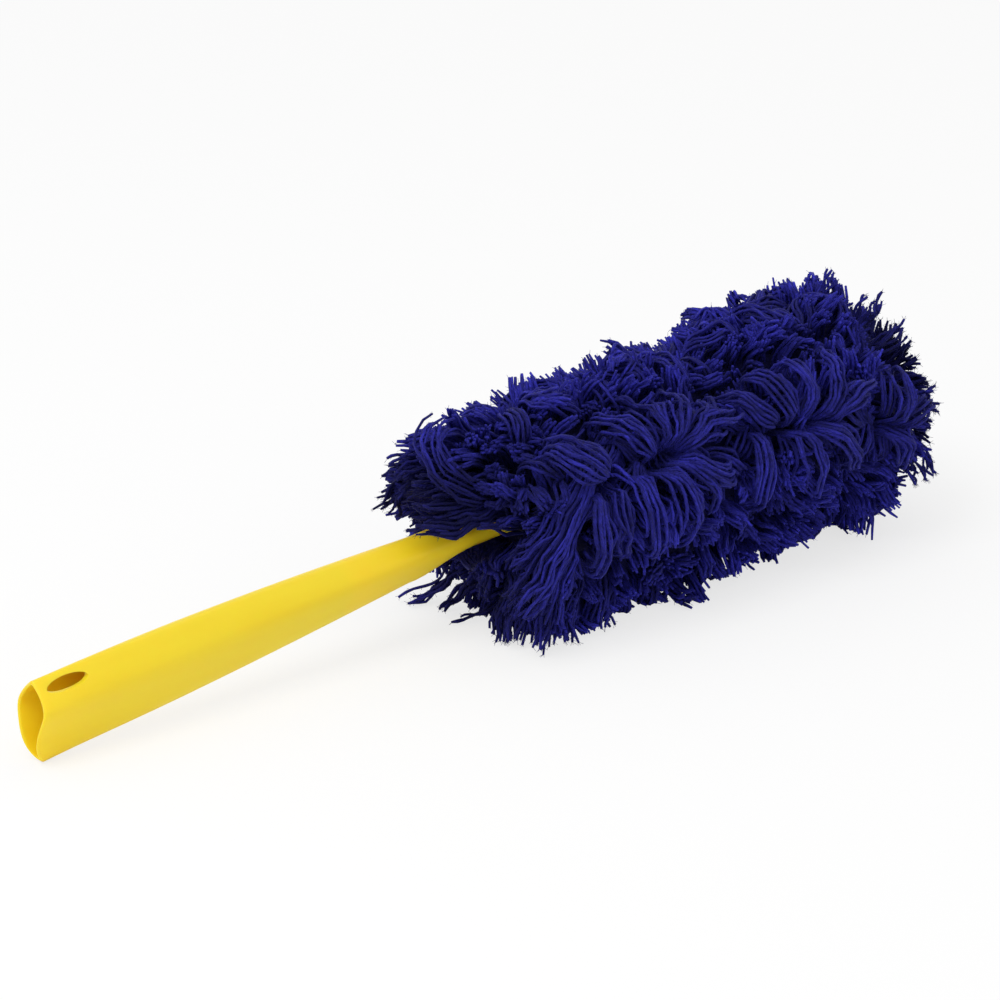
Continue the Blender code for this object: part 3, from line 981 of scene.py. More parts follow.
@dataclass
class Strands:
    """Collects strands of yarn, and makes one mesh of closed tubes of them."""

    sides: int = 5
    ply_length: float = 0.0021
    fibre_radius: float = 0.00010
    fibre_length: tuple[float, float] = (0.0008, 0.0022)
    fibre_glint: float = 1.25
    fibre_depth: float = 0.6
    fibre_stand: float = 0.8
    unevenness: float = 0.09
    most_uneven: float = 0.2
    end_sizes: tuple[float, float, float] = (0.7, 1.06, 0.80)
    batches: list[tuple[Array, Array, Array]] = field(default_factory=list)

    def add(self, paths: Array, radii: Array, tones: Array) -> None:
        """Add strands.

        Args:
            paths: Their middle lines, as strands by points by 3, in the straight frame.
            radii: The radius of each.
            tones: The brightness of each, or of each at each of its points, about 1.
        """
        self.batches.append((paths, radii, tones))

    def count(self) -> int:
        """Say how many strands there are."""
        return sum(len(paths) for paths, _, _ in self.batches)

    def fibres(self, total: int, rng: Rng) -> "Strands":
        """Make fine fibres that stand off the strands and fray their ends.

        Args:
            total: How many fibres to make.
            rng: The source of their places and headings.

        Returns:
            The fibres, as three-sided strands.
        """
        made = Strands(sides=3)
        for paths, radii, tones in self.batches:
            count, steps = paths.shape[:2]
            number = round(total * count / self.count())
            which = rng.integers(0, count, number)
            at = rng.uniform(0.12, 1.15, number).clip(0, 1) * (steps - 1.001)
            low = at.astype(int)
            part = (at - low)[:, None]
            before, after = paths[which, low], paths[which, low + 1]
            along = unit(after - before)
            aside = unit(np.cross(along, rng.normal(size=(number, 3))))
            start = before * (1 - part) + after * part
            start += aside * radii[which, None] * self.fibre_depth
            reach = rng.uniform(*self.fibre_length, number)[:, None]
            heading = unit(aside * self.fibre_stand + along * rng.uniform(0.2, 1.6, (number, 1)))
            tip = start + heading * reach
            shades = np.broadcast_to(tones.reshape(count, -1), (count, steps))[which, low + 1]
            lines = LIE.lift(np.stack([start, tip], axis=1), self.fibre_radius)
            made.add(lines, np.full(number, self.fibre_radius), shades * self.fibre_glint)
        return made

    @staticmethod
    def crosswise(paths: Array) -> tuple[Array, Array]:
        """Carry two directions that cross each path along it without twist.

        Args:
            paths: The paths, as strands by points by 3.

        Returns:
            The two directions at each point.
        """
        tangents = unit(np.gradient(paths, axis=1))
        helper = np.zeros_like(tangents[:, 0])
        helper[:, 0] = 1.0
        steep = np.abs(tangents[:, 0, 0]) > 0.8
        helper[steep] = (0.0, 1.0, 0.0)
        normal = unit(np.cross(tangents[:, 0], helper))
        normals = []
        for step in range(paths.shape[1]):
            tangent = tangents[:, step]
            normal = unit(normal - (normal * tangent).sum(-1, keepdims=True) * tangent)
            normals.append(normal)
        first = np.stack(normals, axis=1)
        return first, np.cross(tangents, first)

    def tube(self, paths: Array, radii: Array) -> tuple[Array, Array]:
        """Wrap tubes round paths.

        Args:
            paths: The strands' middle lines.
            radii: The radius of each.

        Returns:
            The vertices of each strand, and its distance along at each ring.
        """
        first, second = self.crosswise(paths)
        count, steps = paths.shape[:2]
        turn = np.arange(self.sides) * 2 * math.pi / self.sides
        profile = np.ones(steps)
        profile[0], profile[-2], profile[-1] = self.end_sizes
        uneven = np.random.default_rng(count).normal(scale=self.unevenness, size=(count, steps))
        uneven = np.clip(uneven, -self.most_uneven, self.most_uneven)
        sizes = radii[:, None] * profile * (1 + uneven)
        offset = (
            first[:, :, None] * np.cos(turn)[None, None, :, None]
            + second[:, :, None] * np.sin(turn)[None, None, :, None]
        )
        rings = paths[:, :, None] + offset * sizes[:, :, None, None]
        lengths = np.linalg.norm(np.diff(paths, axis=1), axis=-1)
        along = np.concatenate([np.zeros((count, 1)), np.cumsum(lengths, axis=1)], axis=1)
        ends = np.stack([paths[:, 0], paths[:, -1]], axis=1)
        ends[:, 1] += unit(paths[:, -1] - paths[:, -2]) * radii[:, None] * 0.25
        return np.concatenate([rings.reshape(count, -1, 3), ends], axis=1), along

    def faces_of(self, steps: int) -> tuple[Array, Array, Array, Array]:
        """List one strand's faces.

        Args:
            steps: How many rings it has.

        Returns:
            Its four-sided faces, its caps' triangles, and the UV of each of their corners, as
            the number of the ring and the share of the way round.
        """
        side = np.arange(self.sides)
        following = (side + 1) % self.sides
        a, b = side / self.sides, (side + 1) / self.sides
        step = np.arange(steps - 1)[:, None]
        low, high = step * self.sides, (step + 1) * self.sides
        quads = np.stack([low + side, low + following, high + following, high + side], axis=-1)
        quad_uv = self.corners((step, a), (step, b), (step + 1, b), (step + 1, a))
        tip, last = steps * self.sides + 1, (steps - 1) * self.sides
        root_caps = np.stack([np.full_like(side, tip - 1), following, side], axis=-1)
        tip_caps = np.stack([np.full_like(side, tip), last + side, last + following], axis=-1)
        caps = np.stack([root_caps, tip_caps], axis=1)
        cap_uv = np.stack([
            self.corners((0, a), (0, b), (0, a)),
            self.corners((steps - 1, a), (steps - 1, a), (steps - 1, b)),
        ], axis=1)
        quad_uv, cap_uv = quad_uv.reshape(-1, 4, 2), cap_uv.reshape(-1, 3, 2)
        return quads.reshape(-1, 4), caps.reshape(-1, 3), quad_uv, cap_uv

    @staticmethod
    def corners(*pairs: tuple[Array | int, Array]) -> Array:
        """Stack the ring and the share of the way round of each corner of many faces."""
        return np.stack([np.stack(np.broadcast_arrays(*pair), axis=-1) for pair in pairs], axis=-2)

    def mesh(self, name: str) -> bpy.types.Mesh:
        """Make the mesh, with its UV map and the tone of each strand, painted shade included, in
        the row frame.

        Args:
            name: The mesh's name.

        Returns:
            The mesh.
        """
        kinds = ("places", "tones", "quads", "caps", "quad_uv", "cap_uv")
        lists = {kind: [] for kind in kinds}
        base = 0
        for paths, radii, shade in self.batches:
            count, steps = paths.shape[:2]
            points, along = self.tube(paths, radii)
            quad, cap, quad_at, cap_at = self.faces_of(steps)
            offsets = base + np.arange(count)[:, None, None] * points.shape[1]
            base += count * points.shape[1]
            lists["places"].append(points.reshape(-1, 3))
            rings = np.broadcast_to(shade.reshape(count, -1), (count, steps))
            around = np.repeat(rings, self.sides, axis=1)
            lists["tones"].append(np.concatenate([around, rings[:, [0, -1]]], axis=1).ravel())
            lists["quads"].append((quad[None] + offsets).reshape(-1, 4))
            lists["caps"].append((cap[None] + offsets).reshape(-1, 3))
            turns = along / self.ply_length
            turns += np.random.default_rng(count + 1).uniform(0, 80, (count, 1))
            for kind, at in (("quad_uv", quad_at), ("cap_uv", cap_at)):
                u = turns[:, at[..., 0].astype(int)]
                v = np.broadcast_to(at[..., 1], u.shape)
                lists[kind].append(np.stack([u, v], axis=-1).reshape(-1, 2))
        return self.write(name, *(np.concatenate(lists[kind]) for kind in kinds))

    @staticmethod
    def write(
        name: str,
        places: Array,
        tones: Array,
        quads: Array,
        caps: Array,
        quad_uv: Array,
        cap_uv: Array,
    ) -> bpy.types.Mesh:
        """Write the arrays into a mesh, with the four-sided faces before the caps.

        Args:
            name: The mesh's name.
            places: The vertices, in the straight frame.
            tones: The tone of each vertex.
            quads: The four-sided faces.
            caps: The caps' triangles.
            quad_uv: The UV of each corner of the four-sided faces.
            cap_uv: The UV of each corner of the caps.

        Returns:
            The mesh, in the row frame.
        """
        mesh = bpy.data.meshes.new(name)
        loops = np.concatenate([quads.ravel(), caps.ravel()])
        totals = np.repeat([4, 3], [len(quads), len(caps)])
        starts = np.concatenate([[0], np.cumsum(totals)[:-1]])
        mesh.vertices.add(len(places))
        mesh.loops.add(len(loops))
        mesh.polygons.add(len(totals))
        mesh.vertices.foreach_set("co", LIE.to_row(places).astype(np.float32).ravel())
        mesh.loops.foreach_set("vertex_index", loops.astype(np.int32))
        mesh.polygons.foreach_set("loop_start", starts.astype(np.int32))
        mesh.polygons.foreach_set("use_smooth", np.ones(len(totals), bool))
        mesh.update(calc_edges=True)
        corners = np.concatenate([quad_uv, cap_uv]).astype(np.float32)
        mesh.uv_layers.new(name="yarn").data.foreach_set("uv", corners.ravel())
        layer = mesh.attributes.new("tone", "FLOAT", "POINT")
        layer.data.foreach_set("value", tones.astype(np.float32))
        return mesh

    def piece(self, name: str, material: Material) -> Piece:
        """Make the piece that the strands are, riding on the head.

        Args:
            name: The piece's name.
            material: Its yarn.

        Returns:
            The finished piece.
        """
        mesh = self.mesh(name)
        mesh.materials.append(material)
        made = bpy.data.objects.new(name, mesh)
        bpy.context.scene.collection.objects.link(made)
        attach(made, "head")
        return made


# A petal's side view, as shares of its length and depths under the surface, and its two ends.
PETAL_KNOTS = (
    (0.00, 0.0165), (0.02, 0.0100), (0.07, 0.0040), (0.18, 0.0002), (0.36, -0.0018),
    (0.56, -0.0020), (0.76, -0.0008), (0.91, 0.0018),
)
LOOPED_KNOTS = ((0.99, 0.0052), (0.98, 0.0095), (0.84, 0.0122))
CUT_KNOTS = ((1.00, 0.0040), (1.07, 0.0066), (1.13, 0.0096))
PETAL_STEPS = 15


@dataclass(frozen=True)
class PetalShape:
    """The make of one ribbon of yarn that arches out of a parting."""

    width: int
    lift: float
    crown: float
    bend: float
    looped: bool
    gathered: float = 0.36
    fan: float = 0.84
    pitch_spread: float = 0.00045
    length_spread: float = 0.05
    height_spread: float = 0.0008
    rounded: float = 0.20
    rise_share: float = 0.15
    usual_length: float = 0.028
    least_radius: float = 0.008

    def profile(self) -> tuple[Array, Array]:
        """Give shares of the petal's length, and the depth under the surface at each.

        Returns:
            The shares and the depths.
        """
        knots = np.array(PETAL_KNOTS + (LOOPED_KNOTS if self.looped else CUT_KNOTS))
        place = np.linspace(0, len(knots) - 1, PETAL_STEPS)
        steps = range(len(knots))
        return np.interp(place, steps, knots[:, 0]), np.interp(place, steps, knots[:, 1])


# Root x and angle, end x and angle, strands, lift, bend and whether looped: mm and degrees.
FRONT_PETALS = (
    (272, 30, 250, 55, 10, 6.0, 0.16, True),
    (300, 31, 282, 66, 6, 3.4, 0.10, True),
    (304, 32, 303, 68, 5, 2.6, -0.06, False),
    (307, 32, 322, 64, 6, 4.6, -0.05, True),
    (309, 31, 338, 52, 5, 3.2, -0.12, True),
    (311, 30, 348, 37, 6, 5.4, 0.10, True),
    (309, 28, 336, 12, 7, 4.4, -0.12, True),
    (304, 27, 321, 0, 7, 2.4, 0.12, True),
    (298, 26, 303, -9, 6, 5.0, 0.10, False),
    (286, 27, 288, -13, 7, 3.0, -0.07, True),
    (272, 27, 272, -8, 5, 2.2, -0.10, False),
    (264, 26, 256, -14, 6, 4.2, -0.12, True),
    (370, 27, 348, 52, 6, 3.0, 0.09, True),
    (376, 26, 366, 58, 5, 4.6, 0.05, True),
    (382, 25, 386, 55, 6, 2.6, -0.06, True),
    (390, 23, 408, 51, 5, 4.0, -0.08, False),
    (392, 21, 424, 33, 6, 3.6, 0.08, True),
    (386, 22, 408, -2, 6, 3.2, 0.10, False),
    (374, 24, 380, -10, 6, 4.0, 0.08, True),
    (358, 27, 350, -6, 6, 2.6, -0.08, False),
    (432, 9, 446, 36, 6, 3.4, -0.08, True),
    (436, 8, 462, 14, 5, 3.0, 0.10, False),
    (430, 9, 440, -14, 6, 3.2, 0.08, True),
)


@dataclass(frozen=True)
class Lock:
    """A lock of strands that lies or hangs by itself, along a path in millimetres."""

    row: Side
    path: tuple[Point, ...]
    strands: int
    root_spread: float
    tip_spread: float
    flatness: float = 1.0
    loose: float = 0.0009
    thick: float = 0.84
    least_length: float = 0.82
    steps: int = 14

    def centre(self) -> Array:
        """Give the middle line, smoothed through the path's points.

        Returns:
            Points in metres, in the straight frame.
        """
        points = np.array(self.path) / 1000
        before, after = 2 * points[:1] - points[1:2], 2 * points[-1:] - points[-2:-1]
        padded = np.concatenate([before, points, after])
        share = np.linspace(0, len(points) - 1, self.steps)
        first = np.minimum(share.astype(int), len(points) - 2)
        t = (share - first)[:, None]
        a, b, c, d = (padded[first + step] for step in range(4))
        square, cube = 2 * a - 5 * b + 4 * c - d, 3 * b - a - 3 * c + d
        return 0.5 * (2 * b + (c - a) * t + square * t**2 + cube * t**3)

    def lines(self, rng: Rng) -> Array:
        """Lay the strands round the middle line, closer at the root than at the tip.

        Args:
            rng: The source of their unevenness.

        Returns:
            The middle lines of the strands.
        """
        centre = self.centre()
        first, second = Strands.crosswise(centre[None])
        share = np.linspace(0, 1, self.steps)
        spread = (self.root_spread + (self.tip_spread - self.root_spread) * share**0.8) / 1000
        turn = rng.uniform(0, 2 * math.pi, self.strands)
        out = np.sqrt(rng.uniform(0.02, 1, self.strands))
        side = (out * np.cos(turn))[:, None, None] * first
        rise = (out * np.sin(turn))[:, None, None] * second * self.flatness
        paths = centre[None] + (side + rise) * spread[None, :, None]
        cut = rng.uniform(self.least_length, 1.0, self.strands)
        places = share[None] * cut[:, None] * (self.steps - 1)
        low = np.minimum(places.astype(int), self.steps - 2)
        part = (places - low)[..., None]
        rows = np.arange(self.strands)[:, None]
        return paths[rows, low] * (1 - part) + paths[rows, low + 1] * part


# The locks that stand out at the near end, on the floor and at the far end.
LOCKS = (
    Lock(Side.FRONT, ((268, -33, 20), (263, -43, 29), (253, -47, 21), (242, -50, 10),
         (232, -51, -1), (224, -50, -12), (216, -47, -20)), 34, 3.2, 9.5),
    Lock(Side.FRONT, ((266, -30, 18), (258, -41, 25), (247, -45, 17), (237, -46, 9), (227, -45, 3),
         (217, -43, -1)), 18, 3.0, 6.5),
    Lock(Side.FRONT, ((264, -30, 10), (252, -44, 12), (242, -50, 0), (236, -51, -14),
         (232, -48, -28)), 24, 3.0, 8.0),
    Lock(Side.TOP, ((264, -14, 13), (250, -18, 14), (236, -18.5, 13), (226, -18.5, 12),
         (217, -18.5, 9.5), (207, -18, 9), (198, -16, 11), (190, -13, 14)), 16, 2.0, 3.2),
    Lock(Side.TOP, ((264, 0, 12), (248, -6, 17), (232, -10, 16), (216, -12, 15), (202, -11, 16),
         (193, -9, 18)), 22, 3.0, 6.5),
    Lock(Side.TOP, ((264, 4, 14), (248, 4, 22), (230, 0, 25), (213, -3, 25), (199, -2, 26)), 26,
         3.0, 8.5),
    Lock(Side.TOP, ((262, 10, 14), (246, 14, 24), (228, 14, 28), (210, 13, 28), (198, 14, 26)), 24,
         3.0, 8.5),
    Lock(Side.BACK, ((262, 22, 6), (244, 24, 14), (226, 24, 17), (210, 22, 14), (199, 20, 9)), 18,
         3.0, 7.0),
    Lock(Side.BACK, ((226, 20, 24), (211, 19, 17), (205, 18.6, 9), (203.5, 18.4, 1)), 1, 0.8, 1.2),
    Lock(Side.TOP, ((240, -12, 20), (226, -16, 23), (213, -17, 30), (206, -12, 40), (206, -6, 47),
         (212, -3, 51.5), (224, -2, 52)), 9, 6.5, 7.0, 0.22),
    Lock(Side.BOTTOM, ((246, 14, -24), (237, 22, -33), (228, 29, -41), (219, 36, -46)), 8, 1.8,
         4.6),
    Lock(Side.BOTTOM, ((250, 4, -26), (240, 10, -36), (232, 14, -42), (226, 16, -46.5)), 8, 2.2,
         5.2),
    Lock(Side.TOP, ((264, -6, 15), (250, -11, 18), (238, -14, 16), (226, -15.5, 13),
         (215, -15, 12.5), (206, -14, 14)), 20, 2.2, 3.8),
    Lock(Side.FRONT, ((264, -15, 18), (255, -26, 15), (248, -31, 7), (243, -34, -3),
         (239, -35, -12)), 9, 2.4, 6.0),
    Lock(Side.BOTTOM, ((252, -8, -28), (242, -5, -38), (231, 1, -45), (220, 6.5, -47)), 2, 0.6,
         0.9),
    Lock(Side.BOTTOM, ((256, -12, -16), (240, -18, -22), (229, -22, -33), (223, -25, -46)), 14, 4.0,
         6.0),
    Lock(Side.BOTTOM, ((256, -22, -16), (242, -27, -22), (232, -30, -34), (227, -32, -46.5)), 16,
         4.0, 6.0),
    Lock(Side.BOTTOM, ((258, -30, -16), (246, -37, -22), (238, -40, -34), (234, -42, -46.5)), 18,
         4.0, 6.5),
    Lock(Side.BOTTOM, ((266, -32, -18), (256, -40, -24), (249, -43, -36), (246, -45, -47)), 18, 4.0,
         7.0),
    Lock(Side.BOTTOM, ((282, -30, -18), (274, -38, -26), (268, -41, -38), (266, -43, -47)), 16, 4.0,
         7.0),
    Lock(Side.TOP, ((430, 0, 30), (439, 5, 45), (446, 7, 56), (451, 8, 63)), 8, 2.0, 7.0),
    Lock(Side.TOP, ((438, -8, 28), (448, -10, 40), (455, -12, 49), (459, -13, 56)), 8, 2.0, 7.0),
    Lock(Side.TOP, ((440, -14, 22), (451, -20, 32), (459, -25, 39), (464, -28, 44)), 8, 2.0, 7.0),
    Lock(Side.FRONT, ((446, -24, 6), (457, -36, 9), (464, -43, 11), (468, -47, 12)), 6, 2.0, 6.0),
    Lock(Side.FRONT, ((446, -26, -6), (457, -38, -14), (463, -44, -22), (465, -46, -30)), 10, 2.0,
         8.0),
)


@dataclass(frozen=True)
class TuftShape:
    """How cut ends gather into tufts, stand off the surface and lie."""

    together: float = 0.38
    lean: float = 0.34
    rise: float = 0.0028
    own_rise: float = 0.0010
    stray_share: float = 0.03
    stray_rise: tuple[float, float] = (0.002, 0.006)
    lump_grain: float = 0.055
    lump_height: float = 0.0022
    sink: float = 0.0012
    inward: float = 0.45
    outward: float = 0.45
    flow: float = 0.36
    jitter: float = 0.10
    droop: float = 0.16
    strand_tones: float = 0.13
    tuft_tones: float = 0.12
    tone_limits: tuple[float, float] = (0.6, 2.0)
    steps: int = 7

    def rises(self, nearest: Array, tufts: int, points: Array, rng: Rng) -> Array:
        """Give how far each end stands off the surface.

        Args:
            nearest: The number of each end's tuft.
            tufts: How many tufts there are.
            points: The ends' places on the surface.
            rng: The source of their unevenness.

        Returns:
            One height for each end.
        """
        count = len(points)
        rise = rng.normal(scale=self.rise, size=tufts)[nearest]
        rise += rng.normal(scale=self.own_rise, size=count)
        strays = rng.uniform(size=count) < self.stray_share
        rise += strays * rng.uniform(*self.stray_rise, count)
        lumps = Ripple(self.lump_grain, 3).at(points)[:, 0] * self.lump_height
        return rise + lumps - self.sink


@dataclass(frozen=True)
class RibbonChance:
    """How the ribbons of chance spread from their hub, and how unlike each other they are."""

    lean_length: float = 0.024
    lean_share: float = 0.85
    lean_spread: float = 0.28
    most_lean: float = 1.25
    reach: float = 0.027
    reach_shares: tuple[float, float] = (0.75, 1.2)
    step: float = 0.0140
    step_shares: tuple[float, float] = (0.6, 1.4)
    root_share: float = 0.62
    parting_spread: float = 0.035
    start_gap: float = 0.012
    end_gap: float = 0.006
    widths: tuple[int, int] = (4, 9)
    lift_spread: float = 0.0015
    crowns: tuple[float, float] = (0.0014, 0.0032)
    bend_spread: float = 0.09
    looped_until: float = 0.40
    looped_share: float = 0.5


@dataclass
class YarnHead:
    """The yarn: tufts of cut ends all over, and looped ribbons that arch over at each parting."""

    form: HeadForm = field(default_factory=HeadForm)
    tuft: TuftShape = TuftShape()
    chance: RibbonChance = RibbonChance()
    strand_radius: float = 0.00083
    strand_pitch: float = 0.00215
    tip_spacing: float = 0.00268
    tuft_spacing: float = 0.0105
    stub_length: float = 0.026
    wander_size: float = 0.0007
    rounded_share: float = 0.86
    pole_share: float = 0.05
    keep_out_wide: float = 0.0200
    keep_out_high: float = 0.0066
    mouth: float = 0.250
    sleeve_end: float = 0.4660
    neck_view_end: float = 0.2340
    neck_view_high: float = 0.0085
    neck_view_front: float = -0.012
    mouth_radius: float = 0.0115
    mouth_flare: float = 0.30
    root_first: float = 0.252
    root_last: float = 0.462
    # dark_depth, darkest and brightest set the painted shade that darkens strands deeper in the
    # yarn.
    dark_depth: float = 0.024
    darkest: float = 0.42
    brightest: float = 1.12
    ribbon_tone: float = 0.78
    strand_tones: float = 0.11
    ribbon_tones: float = 0.09
    ribbon_limits: tuple[float, float] = (0.4, 1.3)
    tuft_tone: float = 1.22
    parting_dip: float = 0.0060
    parting_width: float = 26.0
    hero_crown: float = 0.0038
    ribbon_sway: float = 0.0006
    floor_gap: float = 0.000913
    end_strands: int = 420
    end_radius: float = 0.036
    end_reach: float = 0.0165
    end_hollow: float = 0.0080
    end_gathered: float = 0.35
    end_fan: float = 0.75
    end_swirl: float = 0.25
    base_share: float = 0.72
    base_squareness: float = 6.0
    base_grain: float = 0.009
    base_roughness: float = 0.0009
    # The base's tone is painted shade, the shade that falls between the tufts.
    base_painted_shade: float = 0.22
    tuft_fibres: int = 6000
    ribbon_fibres: tuple[int, ...] = (14000, 6000, 5000, 6000)
    seed: int = 7

    def row_of(self, angle: Array) -> Array:
        """Say which row, by its number, a place at an angle belongs to.

        Args:
            angle: The angles.

        Returns:
            One number for each.
        """
        degrees = np.degrees(angle) % 360
        row = np.full(angle.shape, 0)
        for number, plan in enumerate(ROWS[1:], 1):
            row[(degrees >= plan.low_reach) & (degrees < plan.high_reach)] = number
        return row

    def clear_sleeve(self, paths: Array, round_mouth: bool = True) -> Array:
        """Push strands out of the flat space of the sleeve, the neck and the blade's way.

        Args:
            paths: The strands' middle lines.
            round_mouth: Whether they stay clear of the whole neck, all round, ahead of the mouth.

        Returns:
            The same lines, moved.
        """
        flat = (np.abs(paths[..., 1]) < self.keep_out_wide) & (
            np.abs(paths[..., 2]) < self.keep_out_high
        ) & (paths[..., 0] < self.sleeve_end)
        moved = paths.copy()
        up = np.where(paths[..., 2] >= 0, 1.0, -1.0)
        moved[..., 2] = np.where(flat, up * self.keep_out_high, moved[..., 2])
        if not round_mouth:
            return moved
        ahead = np.maximum(self.mouth - moved[..., 0], 0.0)
        least = np.where(ahead > 0, self.mouth_radius + self.mouth_flare * ahead, 0.0)
        out = np.linalg.norm(moved[..., 1:], axis=-1)
        moved[..., 1:] *= (np.maximum(out, least) / np.maximum(out, 1e-6))[..., None]
        return moved

    def passes_sleeve(self, paths: Array) -> Array:
        """Say which strands pass from one side of the sleeve's flat space to the other.

        Args:
            paths: The strands' middle lines.

        Returns:
            True for each strand that does.
        """
        within = (np.abs(paths[..., 1]) < self.keep_out_wide) & (paths[..., 0] < self.sleeve_end)
        above = paths[..., 2] > 0
        turned = (above[:, 1:] != above[:, :-1]) & within[:, 1:] & within[:, :-1]
        return turned.any(axis=1)

    def hides_neck(self, paths: Array) -> Array:
        """Say which strands end in front of the place where the neck goes into the sleeve.

        Args:
            paths: The strands' middle lines.

        Returns:
            True for each strand that does.
        """
        tips = paths[:, -1]
        level = np.abs(tips[:, 2]) < self.neck_view_high
        ahead = (tips[:, 0] < self.neck_view_end) & (tips[:, 1] < self.neck_view_front)
        return level & ahead

    def from_parting(self, x: Array, angle: Array, row: Array) -> Array:
        """Give the signed angle from the parting of each place's row."""
        parting = np.stack([plan.parting_at(x) for plan in ROWS])[row, np.arange(len(x))]
        return (angle - parting + math.pi) % (2 * math.pi) - math.pi

    def tuft_places(self, rng: Rng) -> tuple[Array, Array, Array, Array]:
        """Scatter the places of the cut ends, with bare lanes along the partings.

        Args:
            rng: The source of the jitter.

        Returns:
            The x of each place, its angle, its row and its signed angle from the parting.
        """
        x, angle = self.form.scatter(self.tip_spacing, rng)
        row = self.row_of(angle)
        off = self.from_parting(x, angle, row)
        ends = self.form.end_share(x, angle)
        bare = np.array([plan.bare for plan in ROWS])[row]
        kept = (np.abs(off) > np.radians(bare)) | (ends < self.rounded_share)
        kept &= ends > self.pole_share
        return x[kept], angle[kept], row[kept], off[kept]

    @staticmethod
    def nearest_of(points: Array, centres: Array, batch: int = 2000) -> Array:
        """Give the number of the centre nearest to each point, batch by batch.

        Args:
            points: The points.
            centres: The centres.
            batch: How many points are measured at a time.

        Returns:
            One number for each point.
        """
        nearest = np.empty(len(points), int)
        for first in range(0, len(points), batch):
            part = points[first : first + batch]
            gaps = np.linalg.norm(part[:, None] - centres[None], axis=-1)
            nearest[first : first + batch] = gaps.argmin(axis=1)
        return nearest

    def tufts(self) -> dict[Side, Strands]:
        """Make the tufts of cut ends that cover the head.

        Returns:
            The strands of each row.
        """
        shape = self.tuft
        rng = np.random.default_rng(self.seed)
        x, angle, row, off = self.tuft_places(rng)
        points, normals = self.form.surface(x, angle)
        centres, _ = self.form.surface(*self.form.scatter(self.tuft_spacing, rng))
        nearest = self.nearest_of(points, centres)
        lean = rng.normal(scale=shape.lean, size=(len(centres), 3))[nearest]
        rise = shape.rises(nearest, len(centres), points, rng)
        dip = np.exp(-((np.degrees(off) / self.parting_width) ** 2)) * self.parting_dip
        dip *= np.array([plan.dip for plan in ROWS])[row]
        tips = points + (centres[nearest] - points) * shape.together
        tips += normals * (rise - dip)[:, None]
        roots = self.roots(x, row)
        inward = unit(tips - roots)
        jitter = rng.normal(scale=shape.jitter, size=points.shape)
        heading = unit(
            shape.inward * inward + shape.outward * normals
            + shape.flow * self.flow(x, angle, row) + lean + jitter
            + np.array([0.0, 0.0, -shape.droop])
        )
        length = np.minimum(self.stub_length, np.linalg.norm(tips - roots, axis=1) * 0.8)
        back = np.linspace(1, 0, shape.steps)[None, :, None]
        curl = heading[:, None] * back + (inward - heading)[:, None] * back**2 / 2
        paths = tips[:, None] - length[:, None, None] * curl
        paths += self.wander(paths, self.wander_size, 5)
        radii = self.strand_radius * rng.uniform(0.88, 1.1, len(paths))
        tones = rng.normal(self.tuft_tone, shape.strand_tones, len(paths))
        tones *= rng.normal(1.0, shape.tuft_tones, len(centres))[nearest]
        tones = np.clip(tones, *shape.tone_limits)
        shown = ~(self.passes_sleeve(paths) | self.hides_neck(paths))
        return self.sorted_in_rows(paths[shown], radii[shown], tones[shown], row[shown])

    def flow(self, x: Array, angle: Array, row: Array) -> Array:
        """Give the way, along the surface, in which strands lie: outward from their hub.

        Args:
            x: The places along the head.
            angle: Their angles.
            row: The numbers of their rows.

        Returns:
            A direction for each place.
        """
        off = self.from_parting(x, angle, row)
        hubs = np.array([ROWS[number].hub_near(place) for number, place in zip(row, x)])
        around = np.column_stack(
            [np.zeros_like(x), np.sin(angle) * np.sign(off), np.cos(angle) * np.sign(off)]
        )
        along = np.clip((x - hubs) / 0.02, -1, 1)
        around[:, 0] = along
        return unit(around) * self.form.end_share(x, angle)[:, None]

    def painted_depth_shade(self, paths: Array) -> Array:
        """Give the painted shade of each point of each path: darker deep in the yarn, where shade
        falls, brighter at its outside.

        Args:
            paths: The strands' middle lines.

        Returns:
            A brightness for each point, about 1.
        """
        x = paths[..., 0].ravel()
        angle = np.arctan2(paths[..., 2], -paths[..., 1]).ravel()
        out = np.linalg.norm(paths[..., 1:], axis=-1)
        depth = self.form.full_radius(x, angle).reshape(out.shape) - out
        return np.clip(self.brightest - depth / self.dark_depth, self.darkest, self.brightest)

    def sorted_in_rows(
        self, paths: Array, radii: Array, tones: Array, row: Array
    ) -> dict[Side, Strands]:
        """Keep strands clear of the sleeve and the floor, and sort them into their rows.

        Args:
            paths: The strands' middle lines.
            radii: The radius of each.
            tones: The brightness of each, about 1.
            row: The number of each strand's row.

        Returns:
            The strands of each row.
        """
        paths = LIE.lift(self.clear_sleeve(paths), self.floor_gap)
        sorted_strands = {}
        for number, plan in enumerate(ROWS):
            mine = row == number
            strands = Strands(sides=4)
            # Each strand's random tone times the painted shade of its depth in the yarn.
            shades = tones[mine][:, None] * self.painted_depth_shade(paths[mine])
            strands.add(paths[mine], radii[mine], shades)
            sorted_strands[plan.side] = strands
        return sorted_strands

    def roots(self, x: Array, row: Array) -> Array:
        """Give the sewn place from which a strand that ends at x in a row comes.

        Args:
            x: The places along the head.
            row: The numbers of their rows.

        Returns:
            A point for each.
        """
        angles = np.radians([plan.root_angle for plan in ROWS])[row]
        radii = np.array([plan.root_radius for plan in ROWS])[row]
        middle = (self.form.start + self.form.end) / 2
        along = np.clip(middle + (x - middle) * 0.9, self.root_first, self.root_last)
        return np.column_stack([along, polar(angles, radii)])

    @staticmethod
    def wander(paths: Array, size: float, seed: int) -> Array:
        """Give the small wander of each point of each path, which keeps neighbours together."""
        field_of = Ripple(0.016, seed, 3)
        return field_of.at(paths.reshape(-1, 3)).reshape(paths.shape) * size

